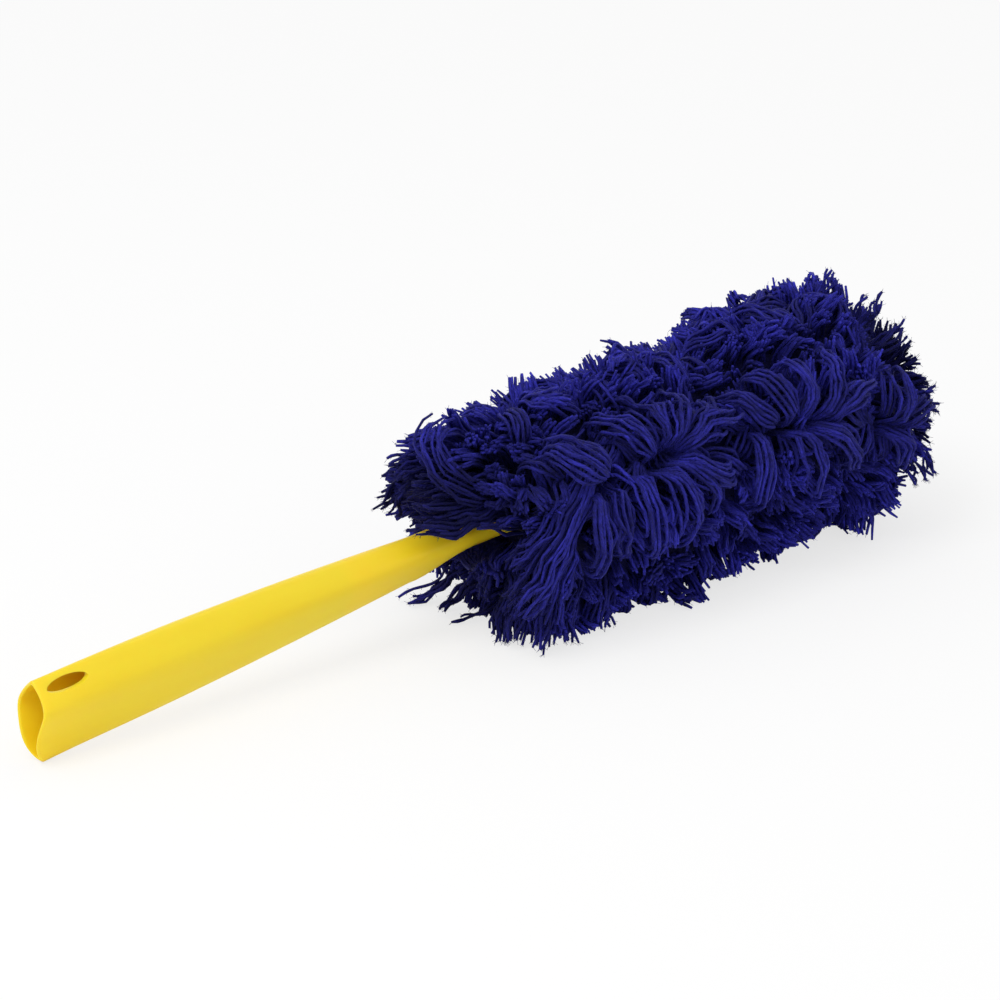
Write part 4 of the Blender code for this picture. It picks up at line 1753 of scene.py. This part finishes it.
    def petal(
        self,
        root: tuple[float, float],
        end: tuple[float, float],
        shape: PetalShape,
        rng: Rng,
    ) -> Array:
        """Lay one ribbon that rises at its root and arches over the surface to its end.

        Args:
            root: The x and the angle of its root.
            end: The x and the angle of its end.
            shape: Its width, lift, bend and kind of end.
            rng: The source of its unevenness.

        Returns:
            The middle lines of its strands.
        """
        out, depth = shape.profile()
        share = np.clip(out, 0, 1)
        spread = shape.gathered + (1 - shape.gathered) * np.sin(share * math.pi * shape.fan) ** 0.8
        width = shape.width
        slots = (np.arange(width) - (width - 1) / 2) * self.strand_pitch
        slots = slots + rng.normal(scale=shape.pitch_spread, size=width)
        radius = float(self.form.full_radius(np.array([root[0]]), np.array([root[1]]))[0])
        way = np.array([end[0] - root[0], (end[1] - root[1]) * radius])
        length = float(np.hypot(*way))
        way = way / length
        run = out[None] * length * (1 + rng.normal(scale=shape.length_spread, size=width))[:, None]
        bow = 1 - (slots / (np.abs(slots).max() + 1e-6)) ** 2
        run = run - ((1 - bow) * shape.rounded * length)[:, None] * share[None] ** 3
        bend = shape.bend * length * 4 * (out * (1 - share))
        across = slots[:, None] * spread[None] + bend[None]
        x = root[0] + run * way[0] - across * way[1]
        angle = root[1] + (run * way[1] + across * way[0]) / radius
        rise = np.clip(out / shape.rise_share, 0, 1)[None]
        height = self.form.radius(x, angle) - depth[None] * (length / shape.usual_length) ** 0.5
        height = height + rise * (shape.lift + bow[:, None] * shape.crown)
        height += rng.normal(scale=shape.height_spread, size=width)[:, None] * share[None]
        height = np.maximum(height, shape.least_radius)
        return np.concatenate([x[..., None], polar(angle, height)], axis=-1)

    def hero_petals(self, strands: Strands) -> None:
        """Lay the large ribbons that stand out on the front row as the photograph shows them.

        Args:
            strands: The strands that they join.
        """
        rng = np.random.default_rng(self.seed * 31)
        for root_x, root_turn, end_x, end_turn, width, lift, bend, looped in FRONT_PETALS:
            shape = PetalShape(width, lift / 1000, self.hero_crown, bend, looped)
            root = (root_x / 1000, math.radians(root_turn))
            end = (end_x / 1000, math.radians(end_turn))
            self.add_ribbon(strands, self.petal(root, end, shape, rng), rng)

    def arches(self) -> dict[Side, Strands]:
        """Make the looped ribbons that arch over to both sides of each row's parting.

        Returns:
            The strands of each row.
        """
        made = {}
        for number, plan in enumerate(ROWS):
            rng = np.random.default_rng(self.seed * 100 + number)
            strands = Strands()
            for sense in (-1, 1):
                x = self.root_first - 0.008 + rng.uniform(0, self.chance.step)
                while x < self.root_last + 0.004:
                    self.add_petal(strands, plan, x, sense, rng)
                    x += self.chance.step * rng.uniform(*self.chance.step_shares)
            if plan.side is Side.FRONT:
                self.hero_petals(strands)
            self.add_ribbon(strands, self.end_cover(plan, rng), rng)
            for lock in LOCKS:
                if lock.row is plan.side:
                    self.add_ribbon(
                        strands, lock.lines(rng), rng,
                        loose=lock.loose, thick=lock.thick, round_mouth=False,
                    )
            made[plan.side] = strands
        return made

    def end_cover(self, plan: RowPlan, rng: Rng) -> Array:
        """Lay short strands that fan out over the head's far end, past the sleeve's tip.

        Args:
            plan: The row that they belong to, whose quarter of the end they cover.
            rng: The source of their unevenness.

        Returns:
            The middle lines of the strands.
        """
        count = self.end_strands // len(ROWS)
        out = np.sqrt(rng.uniform(0.0, 1.0, count)) * self.end_radius
        middle = math.radians(plan.root_angle)
        angle = middle + rng.uniform(-0.25, 0.25, count) * math.pi
        share = np.linspace(0, 1, self.tuft.steps)[None]
        fan = self.end_gathered + self.end_fan * share**1.4
        reach = self.end_reach - self.end_hollow * (out / self.end_radius) ** 2
        reach = reach * rng.uniform(0.7, 1.1, count)
        x = self.sleeve_end - 0.001 + reach[:, None] * share
        swirl = angle[:, None] + rng.normal(scale=self.end_swirl, size=count)[:, None] * share
        return np.concatenate([x[..., None], polar(swirl, out[:, None] * fan + 0.002)], axis=-1)

    def add_petal(self, strands: Strands, plan: RowPlan, x: float, sense: int, rng: Rng) -> None:
        """Add one petal of chance at x, which leans away from the hub nearest to it.

        Args:
            strands: The strands that it joins.
            plan: The plan of its row.
            x: Where it stands.
            sense: 1 for a petal that leans up from the parting, -1 for down.
            rng: The source of its unevenness.
        """
        chance, hub = self.chance, plan.hub_near(x)
        lean = (x - hub) / chance.lean_length * chance.lean_share
        lean += rng.normal(scale=chance.lean_spread)
        lean = max(min(lean, chance.most_lean), -chance.most_lean)
        length = chance.reach * rng.uniform(*chance.reach_shares)
        root_x = hub + (x - hub) * chance.root_share
        parting = float(plan.parting_at(np.array([root_x]))[0])
        parting += rng.normal(scale=chance.parting_spread)
        radius = float(self.form.full_radius(np.array([root_x]), np.array([parting]))[0])
        end_x = root_x + length * math.sin(lean)
        end_x = min(
            max(end_x, self.form.start + chance.start_gap), self.form.end - chance.end_gap
        )
        end = (end_x, parting + sense * length * math.cos(lean) / radius)
        shape = PetalShape(
            width=int(rng.integers(*chance.widths)),
            lift=plan.ribbon_lift + rng.normal(scale=chance.lift_spread),
            crown=rng.uniform(*chance.crowns),
            bend=rng.normal(scale=chance.bend_spread),
            looped=x < chance.looped_until and rng.uniform() < chance.looped_share,
        )
        self.add_ribbon(strands, self.petal((root_x, parting), end, shape, rng), rng)

    def add_ribbon(
        self,
        strands: Strands,
        paths: Array,
        rng: Rng,
        loose: float = 0.0004,
        thick: float = 1.0,
        round_mouth: bool = True,
    ) -> None:
        """Add a ribbon's strands, kept clear of the sleeve and the floor.

        Args:
            strands: The strands that they join.
            paths: Their middle lines.
            rng: The source of their unevenness.
            loose: How far each strand waves by itself.
            thick: Their thickness, as a share of the usual.
            round_mouth: Whether they stay clear of the whole neck ahead of the mouth.
        """
        paths = paths[~self.passes_sleeve(paths)]
        count, steps = paths.shape[:2]
        share = np.linspace(0, 1, steps)[None, :, None]
        sway = rng.normal(scale=self.ribbon_sway, size=(count, 1, 3)) * share
        turns = rng.uniform(1.0, 2.4, size=(count, 1, 3)) * 2 * math.pi
        phase = rng.uniform(0, 2 * math.pi, size=(count, 1, 3))
        sway = sway + np.sin(share * turns + phase) * np.minimum(share * 4, 1.0) * loose
        paths = paths + self.wander(paths, self.wander_size, 6) + sway
        paths = LIE.lift(self.clear_sleeve(paths, round_mouth), self.floor_gap)
        radii = self.strand_radius * thick * rng.uniform(0.90, 1.12, count)
        tones = rng.normal(self.ribbon_tone, self.strand_tones, count)
        tones *= rng.normal(1.0, self.ribbon_tones)
        # Each strand's random tone times the painted shade of its depth in the yarn.
        shades = np.clip(tones, *self.ribbon_limits)[:, None] * self.painted_depth_shade(paths)
        strands.add(paths, radii, shades)

    def build_base(self, yarn: Material) -> Piece:
        """Build the dense base of the yarn round the sleeve, which shows between the tufts, dark
        with painted shade.

        Args:
            yarn: The material of the strands.

        Returns:
            The finished base.
        """
        stations = np.linspace(self.root_first - 0.001, self.form.end - 0.030, 40)
        turns = np.linspace(0, 2 * math.pi, 96, endpoint=False)
        Bench.deselect()
        bpy.ops.mesh.primitive_torus_add(
            major_segments=len(turns), minor_segments=2 * len(stations), major_radius=0.03,
            minor_radius=0.01,
        )
        base = Bench.name(bpy.context.object, "yarn_base")
        rough = Ripple(self.base_grain, 12)
        rows = []
        for turn in turns:
            angle = np.full_like(stations, turn)
            outer = self.form.radius(stations, angle) * self.base_share
            points = np.column_stack([stations, polar(angle, outer)])
            points += rough.at(points) * self.base_roughness
            wide, high = self.keep_out_wide + 0.0012, self.keep_out_high + 0.0010
            power = self.base_squareness
            shape = abs(math.cos(turn) / wide) ** power + abs(math.sin(turn) / high) ** power
            inner = np.full_like(stations, shape ** (-1 / power))
            inner = np.minimum(inner, np.linalg.norm(points[:, 1:], axis=1) - 0.002)
            inside = np.column_stack([stations, polar(angle, inner)])[::-1]
            rows.append(np.concatenate([points, inside]))
        places = LIE.lift(np.concatenate(rows), 0.0012)
        Bench.move(base, LIE.to_row(places))
        Bench.face_outwards(base)
        bpy.ops.object.shade_smooth()
        base.data.materials.append(yarn)
        tone = base.data.attributes.new("tone", "FLOAT", "POINT")
        # A low tone all over the base: painted shade for the gaps between the tufts.
        tones = np.full(len(base.data.vertices), self.base_painted_shade, np.float32)
        tone.data.foreach_set("value", tones)
        base.data.uv_layers[0].name = "yarn"
        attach(base, "head")
        return base

    def build(self, yarn: Material) -> list[Piece]:
        """Build the rows of yarn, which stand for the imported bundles.

        Args:
            yarn: The material of the strands.

        Returns:
            The finished pieces.
        """
        pieces = [self.build_base(yarn)]
        tufts, arches = self.tufts(), self.arches()
        for plan in ROWS:
            name = plan.side.value
            cut = tufts[plan.side].piece(f"{name}_row_cut_tufts", yarn)
            looped = arches[plan.side].piece(f"{name}_row_looped_ribbons", yarn)
            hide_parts(*(f"{name}_yarn_bundle_{number}" for number in range(1, 7)))
            rng = np.random.default_rng(self.seed * 1000 + len(pieces))
            frayed = tufts[plan.side].fibres(self.tuft_fibres, rng)
            fluff = arches[plan.side].fibres(self.ribbon_fibres[len(pieces) // 4], rng)
            LOG.info("%s row: %d tuft strands, %d ribbon strands", name,
                     tufts[plan.side].count(), arches[plan.side].count())
            pieces += [cut, looped, frayed.piece(f"{name}_row_frayed_fibres", yarn),
                       fluff.piece(f"{name}_row_ribbon_fluff", yarn)]
        return pieces


@dataclass
class Sleeve:
    """The sewn pocket over the blade: two panels, three seams, an elastic hem and four tapes."""

    mouth: float = 0.250
    end: float = 0.465
    half_width: float = 0.0192
    trim: float = 0.0004
    blade_room: float = 0.0028
    panel_middle: float = 0.0034
    cloth_thickness: float = 0.0009
    seam_middle: float = 0.01755
    seam_end: float = 0.462
    seam_width: float = 0.0024
    seam_height: float = 0.0048
    seam_rounding: float = 0.30
    seam_cut: float = 0.0016
    seam_wave: float = 0.00022
    hem_width: float = 0.0100
    hem_half_width: float = 0.0200
    hem_half_height: float = 0.0048
    hem_thickness: float = 0.0005
    hem_squareness: float = 5.0
    gathers: int = 54
    gather_depth: float = 0.00016
    tape_start: float = 0.27145
    tape_width: float = 0.0037
    tape_thickness: float = 0.0005
    tape_wave: float = 0.00008
    tape_out: tuple[float, float] = (0.0250, 0.0098)
    stitch_pitch: float = 0.0030
    stitch_length: float = 0.0021
    stitch_radius: float = 0.00017
    stitch_pull: float = 0.025
    stitch_row: float = 0.0013

    @staticmethod
    def waves(places: Array, size: float, seed: int) -> Array:
        """Give the heights of soft waves at places on a cloth.

        Args:
            places: The places.
            size: The waves' height.
            seed: The seed of their pattern.

        Returns:
            One height for each place.
        """
        long = Ripple(0.016, seed).at(places)[:, 0]
        short = Ripple(0.005, seed + 1).at(places)[:, 0]
        return np.clip(long + short * 0.3, -1.0, 1.0) * size

    @staticmethod
    def draw_cloth(name: str, cuts: tuple[int, int], size: Point) -> Piece:
        """Draw a flat cloth as a grid of a size, cut so often along X and Y.

        Args:
            name: The cloth's name.
            cuts: How many cuts run each way.
            size: Its size along X, Y and Z.

        Returns:
            The cloth, flat about the origin.
        """
        Bench.deselect()
        bpy.ops.mesh.primitive_grid_add(x_subdivisions=cuts[0], y_subdivisions=cuts[1], size=1.0)
        return Bench.start(name, size)

    @staticmethod
    def thicken(cloth: Piece, thickness: float, rounding: float) -> None:
        """Give a cloth its thickness and round its edges."""
        Bench.apply(cloth, "SOLIDIFY", thickness=thickness, offset=0.0)
        Bench.apply(cloth, "BEVEL", width=rounding, segments=2, limit_method="ANGLE")

    @property
    def panel_size(self) -> tuple[float, float]:
        """The length and the width of a panel."""
        return self.end - self.mouth - self.trim, self.half_width * 2 - self.trim

    def draw_panel(self, name: str, side: float) -> Piece:
        """Draw one panel as a grid with soft waves, made thick.

        Args:
            name: The panel's name.
            side: 1 for the panel above the blade, -1 for the one below.

        Returns:
            The panel, in the straight frame.
        """
        panel = self.draw_cloth(name, (150, 26), (*self.panel_size, 1.0))
        places = Bench.places(panel)
        edge = 1 - (np.abs(places[:, 1]) / self.half_width) ** 4
        room = (self.panel_middle - self.blade_room) - self.cloth_thickness / 2
        places[:, 2] = self.waves(places, room, 40 + int(side)) * edge
        places[:, 0] += (self.mouth + self.end) / 2
        places[:, 2] += side * self.panel_middle
        Bench.move(panel, places)
        self.thicken(panel, self.cloth_thickness, 0.0003)
        return panel

    def draw_seam(self, name: str, size: Point, middle: Point) -> Piece:
        """Draw one folded seam as a rounded bar, uneven along its length.

        Args:
            name: The seam's name.
            size: Its length, width and height, along X, Y and Z.
            middle: Where its middle lies.

        Returns:
            The seam, in the straight frame.
        """
        Bench.deselect()
        bpy.ops.mesh.primitive_cube_add(size=1.0)
        seam = Bench.start(name, size)
        rounding = min(size) * self.seam_rounding
        Bench.apply(seam, "BEVEL", width=rounding, segments=4, limit_method="ANGLE")
        along = 0 if size[0] > size[1] else 1
        cuts = int(size[along] / self.seam_cut)
        axis = Vector((along == 0, along == 1, 0))
        bpy.ops.object.mode_set(mode="EDIT")
        for cut in range(1, cuts):
            place = axis * (size[along] * (cut / cuts - 0.5))
            bpy.ops.mesh.select_all(action="SELECT")
            bpy.ops.mesh.bisect(plane_co=place, plane_no=axis)
        bpy.ops.object.mode_set(mode="OBJECT")
        places = Bench.places(seam)
        uneven = self.waves(places, self.seam_wave, 50 + len(name))
        narrow = 1 - np.abs(uneven) / (min(size) / 2)
        for other in {0, 1, 2} - {along}:
            places[:, other] *= narrow
        Bench.move(seam, places + np.array(middle))
        return seam

    def draw_hem(self) -> Piece:
        """Draw the elastic hem round the mouth, drawn into small gathers.

        Returns:
            The hem, in the straight frame.
        """
        Bench.deselect()
        bpy.ops.mesh.primitive_cylinder_add(
            vertices=self.gathers * 8, radius=1.0, depth=1.0, end_fill_type="NOTHING"
        )
        hem = Bench.name(bpy.context.object, "gathered_mouth_hem")
        bpy.ops.object.mode_set(mode="EDIT")
        for share in (-0.36, -0.30, -0.18, 0.0, 0.18, 0.30, 0.36):
            bpy.ops.mesh.select_all(action="SELECT")
            bpy.ops.mesh.bisect(plane_co=(0.0, 0.0, share), plane_no=(0.0, 0.0, 1.0))
        bpy.ops.object.mode_set(mode="OBJECT")
        x, y, along = Bench.places(hem).T
        turn = np.arctan2(y, x)
        shape = (np.abs(np.cos(turn)) / self.hem_half_width) ** self.hem_squareness
        shape += (np.abs(np.sin(turn)) / self.hem_half_height) ** self.hem_squareness
        gather = np.cos(turn * self.gathers) * self.gather_depth * np.cos(along * 2.6)
        out = shape ** (-1 / self.hem_squareness) + gather
        place = self.mouth + self.hem_width / 2 + along * (self.hem_width - self.trim)
        Bench.move(hem, np.column_stack([place, out * np.cos(turn), out * np.sin(turn)]))
        Bench.apply(hem, "SOLIDIFY", thickness=self.hem_thickness, offset=0.0)
        return hem

    def draw_tape(self, name: str) -> Piece:
        """Draw one tape flat, drawn in a little at each stitch.

        Args:
            name: The tape's name.

        Returns:
            The tape, flat about the origin.
        """
        length = self.end - self.tape_start - self.trim
        tape = self.draw_cloth(name, (160, 8), (length, self.tape_width, 1.0))
        places = Bench.places(tape)
        pull = np.cos(places[:, 0] * 2 * math.pi / self.stitch_pitch)
        places[:, 1] *= 1 + pull * self.stitch_pull
        places[:, 2] = self.waves(places, self.tape_wave, 60 + len(name))
        Bench.move(tape, places)
        self.thicken(tape, self.tape_thickness, 0.00015)
        return tape

    def add_stitches(self, piece: Piece, start: Point, step: Point, total: int) -> None:
        """Sew a row of stitches onto a piece.

        Args:
            piece: The piece that the stitches join.
            start: The middle of the first stitch.
            step: The way from one stitch to the next.
            total: How many there are.
        """
        along = Vector(step).normalized()
        Bench.deselect()
        bpy.ops.mesh.primitive_uv_sphere_add(
            segments=8, ring_count=6, radius=self.stitch_radius, location=start
        )
        stitch = bpy.context.object
        stitch.scale = (1.0, 1.0, self.stitch_length / 2 / self.stitch_radius)
        stitch.rotation_euler = along.to_track_quat("Z", "Y").to_euler()
        bpy.ops.object.transform_apply(location=True, rotation=True, scale=True)
        Bench.apply(stitch, "ARRAY", count=total, use_relative_offset=False,
                    use_constant_offset=True, constant_offset_displace=step)
        Bench.pick(stitch)
        bpy.ops.object.shade_smooth()
        piece.select_set(True)
        bpy.context.view_layer.objects.active = piece
        bpy.ops.object.join()

    @staticmethod
    def finish(piece: Piece, node: str, slot: str, material: Material) -> Piece:
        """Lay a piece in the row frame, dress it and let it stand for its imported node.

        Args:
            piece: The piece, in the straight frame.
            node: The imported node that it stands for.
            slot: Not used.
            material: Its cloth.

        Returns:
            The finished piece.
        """
        piece.data.materials.clear()
        piece.data.materials.append(material)
        Bench.pick(piece)
        bpy.ops.object.shade_smooth_by_angle(angle=math.radians(40))
        Bench.settle(piece)
        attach(piece, "head")
        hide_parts(node)
        return piece

    def build_panels(self, cloth: Material) -> list[Piece]:
        """Args:
            cloth: Their material.

        Returns:
            The finished panels.
        """
        panels = []
        for name, side in (("top", 1.0), ("bottom", -1.0)):
            panel = self.draw_panel(f"{name}_cloth_panel", side)
            panels.append(
                self.finish(panel, f"sleeve_{name}_panel", "blue_sleeve_cloth", cloth)
            )
        return panels

    def build_seams(self, tape: Material) -> list[Piece]:
        """Build the side seams and the tip seam, each with a row of stitches.

        Args:
            tape: Their material.

        Returns:
            The finished seams.
        """
        seams = []
        length = self.seam_end - self.mouth
        for name, side in (("front", -1.0), ("back", 1.0)):
            size = (length - 0.0002, self.seam_width, self.seam_height)
            middle = (self.mouth + length / 2, side * self.seam_middle, 0.0)
            seam = self.draw_seam(f"{name}_side_seam", size, middle)
            total = int((length - 0.006) / self.stitch_pitch)
            out = side * (self.seam_middle + self.seam_width / 2 - 0.0001)
            start = (self.mouth + 0.003, out, 0.0)
            self.add_stitches(seam, start, (self.stitch_pitch, 0.0, 0.0), total)
            seams.append(self.finish(seam, f"sleeve_{name}_seam", "blue_binding", tape))
        size = (self.seam_width, self.panel_size[1], self.seam_height)
        x = (self.seam_end + 0.0003 + self.end) / 2
        seam = self.draw_seam("tip_end_seam", size, (x, 0.0, 0.0))
        total = int((self.half_width * 2 - 0.005) / self.stitch_pitch)
        start = (x + self.seam_width / 2 - 0.0001, 0.0025 - self.half_width, 0.0)
        self.add_stitches(seam, start, (0.0, self.stitch_pitch, 0.0), total)
        seams.append(self.finish(seam, "sleeve_tip_seam", "blue_binding", tape))
        return seams

    def build_tapes(self, tape: Material) -> list[Piece]:
        """Build the four tapes that are sewn over the yarn, each with two rows of stitches.

        Args:
            tape: Their material.

        Returns:
            The finished tapes.
        """
        tapes = []
        length = self.end - self.tape_start
        total = int((length - 0.004) / self.stitch_pitch)
        turns = {Side.FRONT: 0.5, Side.TOP: 0.0, Side.BACK: -0.5, Side.BOTTOM: 1.0}
        for side, turn in turns.items():
            made = self.draw_tape(f"{side.value}_sewn_tape")
            for across in (-self.stitch_row, self.stitch_row):
                start = (0.002 - length / 2, across, self.tape_thickness / 2)
                self.add_stitches(made, start, (self.stitch_pitch, 0.0, 0.0), total)
            out = self.tape_out[0 if side in (Side.FRONT, Side.BACK) else 1]
            angle = turn * math.pi
            made.rotation_euler = (angle, 0.0, 0.0)
            made.location = (
                self.tape_start + length / 2, -out * math.sin(angle), out * math.cos(angle)
            )
            tapes.append(self.finish(made, f"{side.value}_seam_tape", "blue_binding", tape))
        return tapes

    def build(self, cloth: Material, tape: Material) -> list[Piece]:
        """Build every piece of the sleeve.

        Args:
            cloth: The material of the panels and the hem.
            tape: The material of the seams and tapes.

        Returns:
            The finished pieces.
        """
        hem = self.finish(self.draw_hem(), "sleeve_mouth_hem", "blue_binding", tape)
        return self.build_panels(cloth) + self.build_seams(tape) + [hem] + self.build_tapes(tape)


@dataclass
class Studio:
    """The pale floor, the soft light and the camera at the photograph's angle."""

    camera_place: Point = (-1.0680, -1.3432, 0.7508)
    camera_tilt: float = math.radians(68)
    camera_turn: float = math.radians(-38.7)
    lens: float = 151.2
    floor_size: float = 14.0
    floor_white: float = 0.72
    sky: float = 0.78
    lamp_place: Point = (-0.9, -0.2, 1.6)
    lamp_size: float = 0.9
    lamp_level: float = 0.30

    def build_camera(self) -> None:
        """Place the camera."""
        Bench.deselect()
        bpy.ops.object.camera_add(
            location=self.camera_place, rotation=(self.camera_tilt, 0.0, self.camera_turn)
        )
        camera = bpy.context.object
        camera.data.sensor_width = 36.0
        camera.data.lens = self.lens
        camera.data.clip_end = 60.0
        bpy.context.scene.camera = camera

    def build_floor(self) -> None:
        """Lay the floor, which keeps the duster's shadow."""
        Bench.deselect()
        bpy.ops.mesh.primitive_plane_add(size=self.floor_size, location=(0.0, 0.0, 0.0))
        floor = Bench.name(bpy.context.object, "studio_floor")
        graph = Graph.of_material("white_paper_floor")
        paper = graph.noise(graph.place(), 30.0, 3.0)
        graph.set(
            Base_Color=graph.colour((0.955, 0.955, 0.955), (0.965, 0.965, 0.965), paper),
            Roughness=0.9,
            Specular_IOR_Level=0.0,
        )
        self.brighten(graph)
        floor.data.materials.append(graph.owner)

    def brighten(self, graph: Graph) -> None:
        """Let the camera see the floor nearer to white than the light makes it.

        Args:
            graph: The floor's node tree.
        """
        seen = graph.node("ShaderNodeLightPath").outputs["Is Camera Ray"]
        white = graph.node("ShaderNodeEmission", None, {"Color": (1.0, 1.0, 1.0, 1.0)})
        share = Value(graph, seen) * self.floor_white
        sockets = {0: share, 1: graph.shader.outputs[0], 2: white.outputs[0]}
        mixed = graph.node("ShaderNodeMixShader", None, sockets)
        output = graph.tree.nodes["Material Output"]
        graph.tree.links.new(mixed.outputs[0], output.inputs["Surface"])

    def build_sky(self) -> None:
        """Light the scene evenly, and show white behind it."""
        graph = Graph(bpy.data.worlds.new("studio_light"), "Background")
        bpy.context.scene.world = graph.owner
        rays = graph.node("ShaderNodeLightPath").outputs
        seen = rays["Is Camera Ray"]
        for name in ("Is Glossy Ray", "Is Transmission Ray"):
            seen = graph.maths("MAXIMUM", seen, rays[name])
        sockets = {"Value": seen, "To Min": self.sky, "To Max": 1.0}
        level = graph.node("ShaderNodeMapRange", None, sockets).outputs["Result"]
        graph.set(Color=(1.0, 1.0, 1.0, 1.0), Strength=level)

    def build_lamp(self) -> None:
        """Hang a soft lamp that looks at the duster."""
        Bench.deselect()
        distance = math.dist(self.lamp_place, (0.0, 0.0, 0.0))
        lean = math.acos(self.lamp_place[2] / distance)
        turn = math.atan2(self.lamp_place[1], self.lamp_place[0]) + math.pi / 2
        bpy.ops.object.light_add(
            type="AREA", location=self.lamp_place, rotation=(lean, 0.0, turn)
        )
        lamp = bpy.context.object
        lamp.name = "key_lamp"
        lamp.data.size = self.lamp_size
        lamp.data.energy = self.lamp_level * math.pi**2 * distance**2

    def build(self) -> None:
        """Build the studio."""
        bpy.context.scene.view_settings.view_transform = "Standard"
        self.build_camera()
        self.build_floor()
        self.build_sky()
        self.build_lamp()


def main() -> None:
    """Build the duster and its studio, and report each piece."""
    logging.basicConfig(level=logging.INFO, format="%(name)s: %(message)s")
    Studio().build()
    pieces = [Handle().build(MouldedPlastic().material())]
    pieces += YarnHead().build(PliedYarn().material())
    cloth, tape = (WovenCloth(weave).material() for weave in (Weave.CLOTH, Weave.TAPE))
    pieces += Sleeve().build(cloth, tape)
    for piece in pieces:
        LOG.info("%s has %d faces", piece.name, len(piece.data.polygons))


if __name__ == "__main__":
    main()
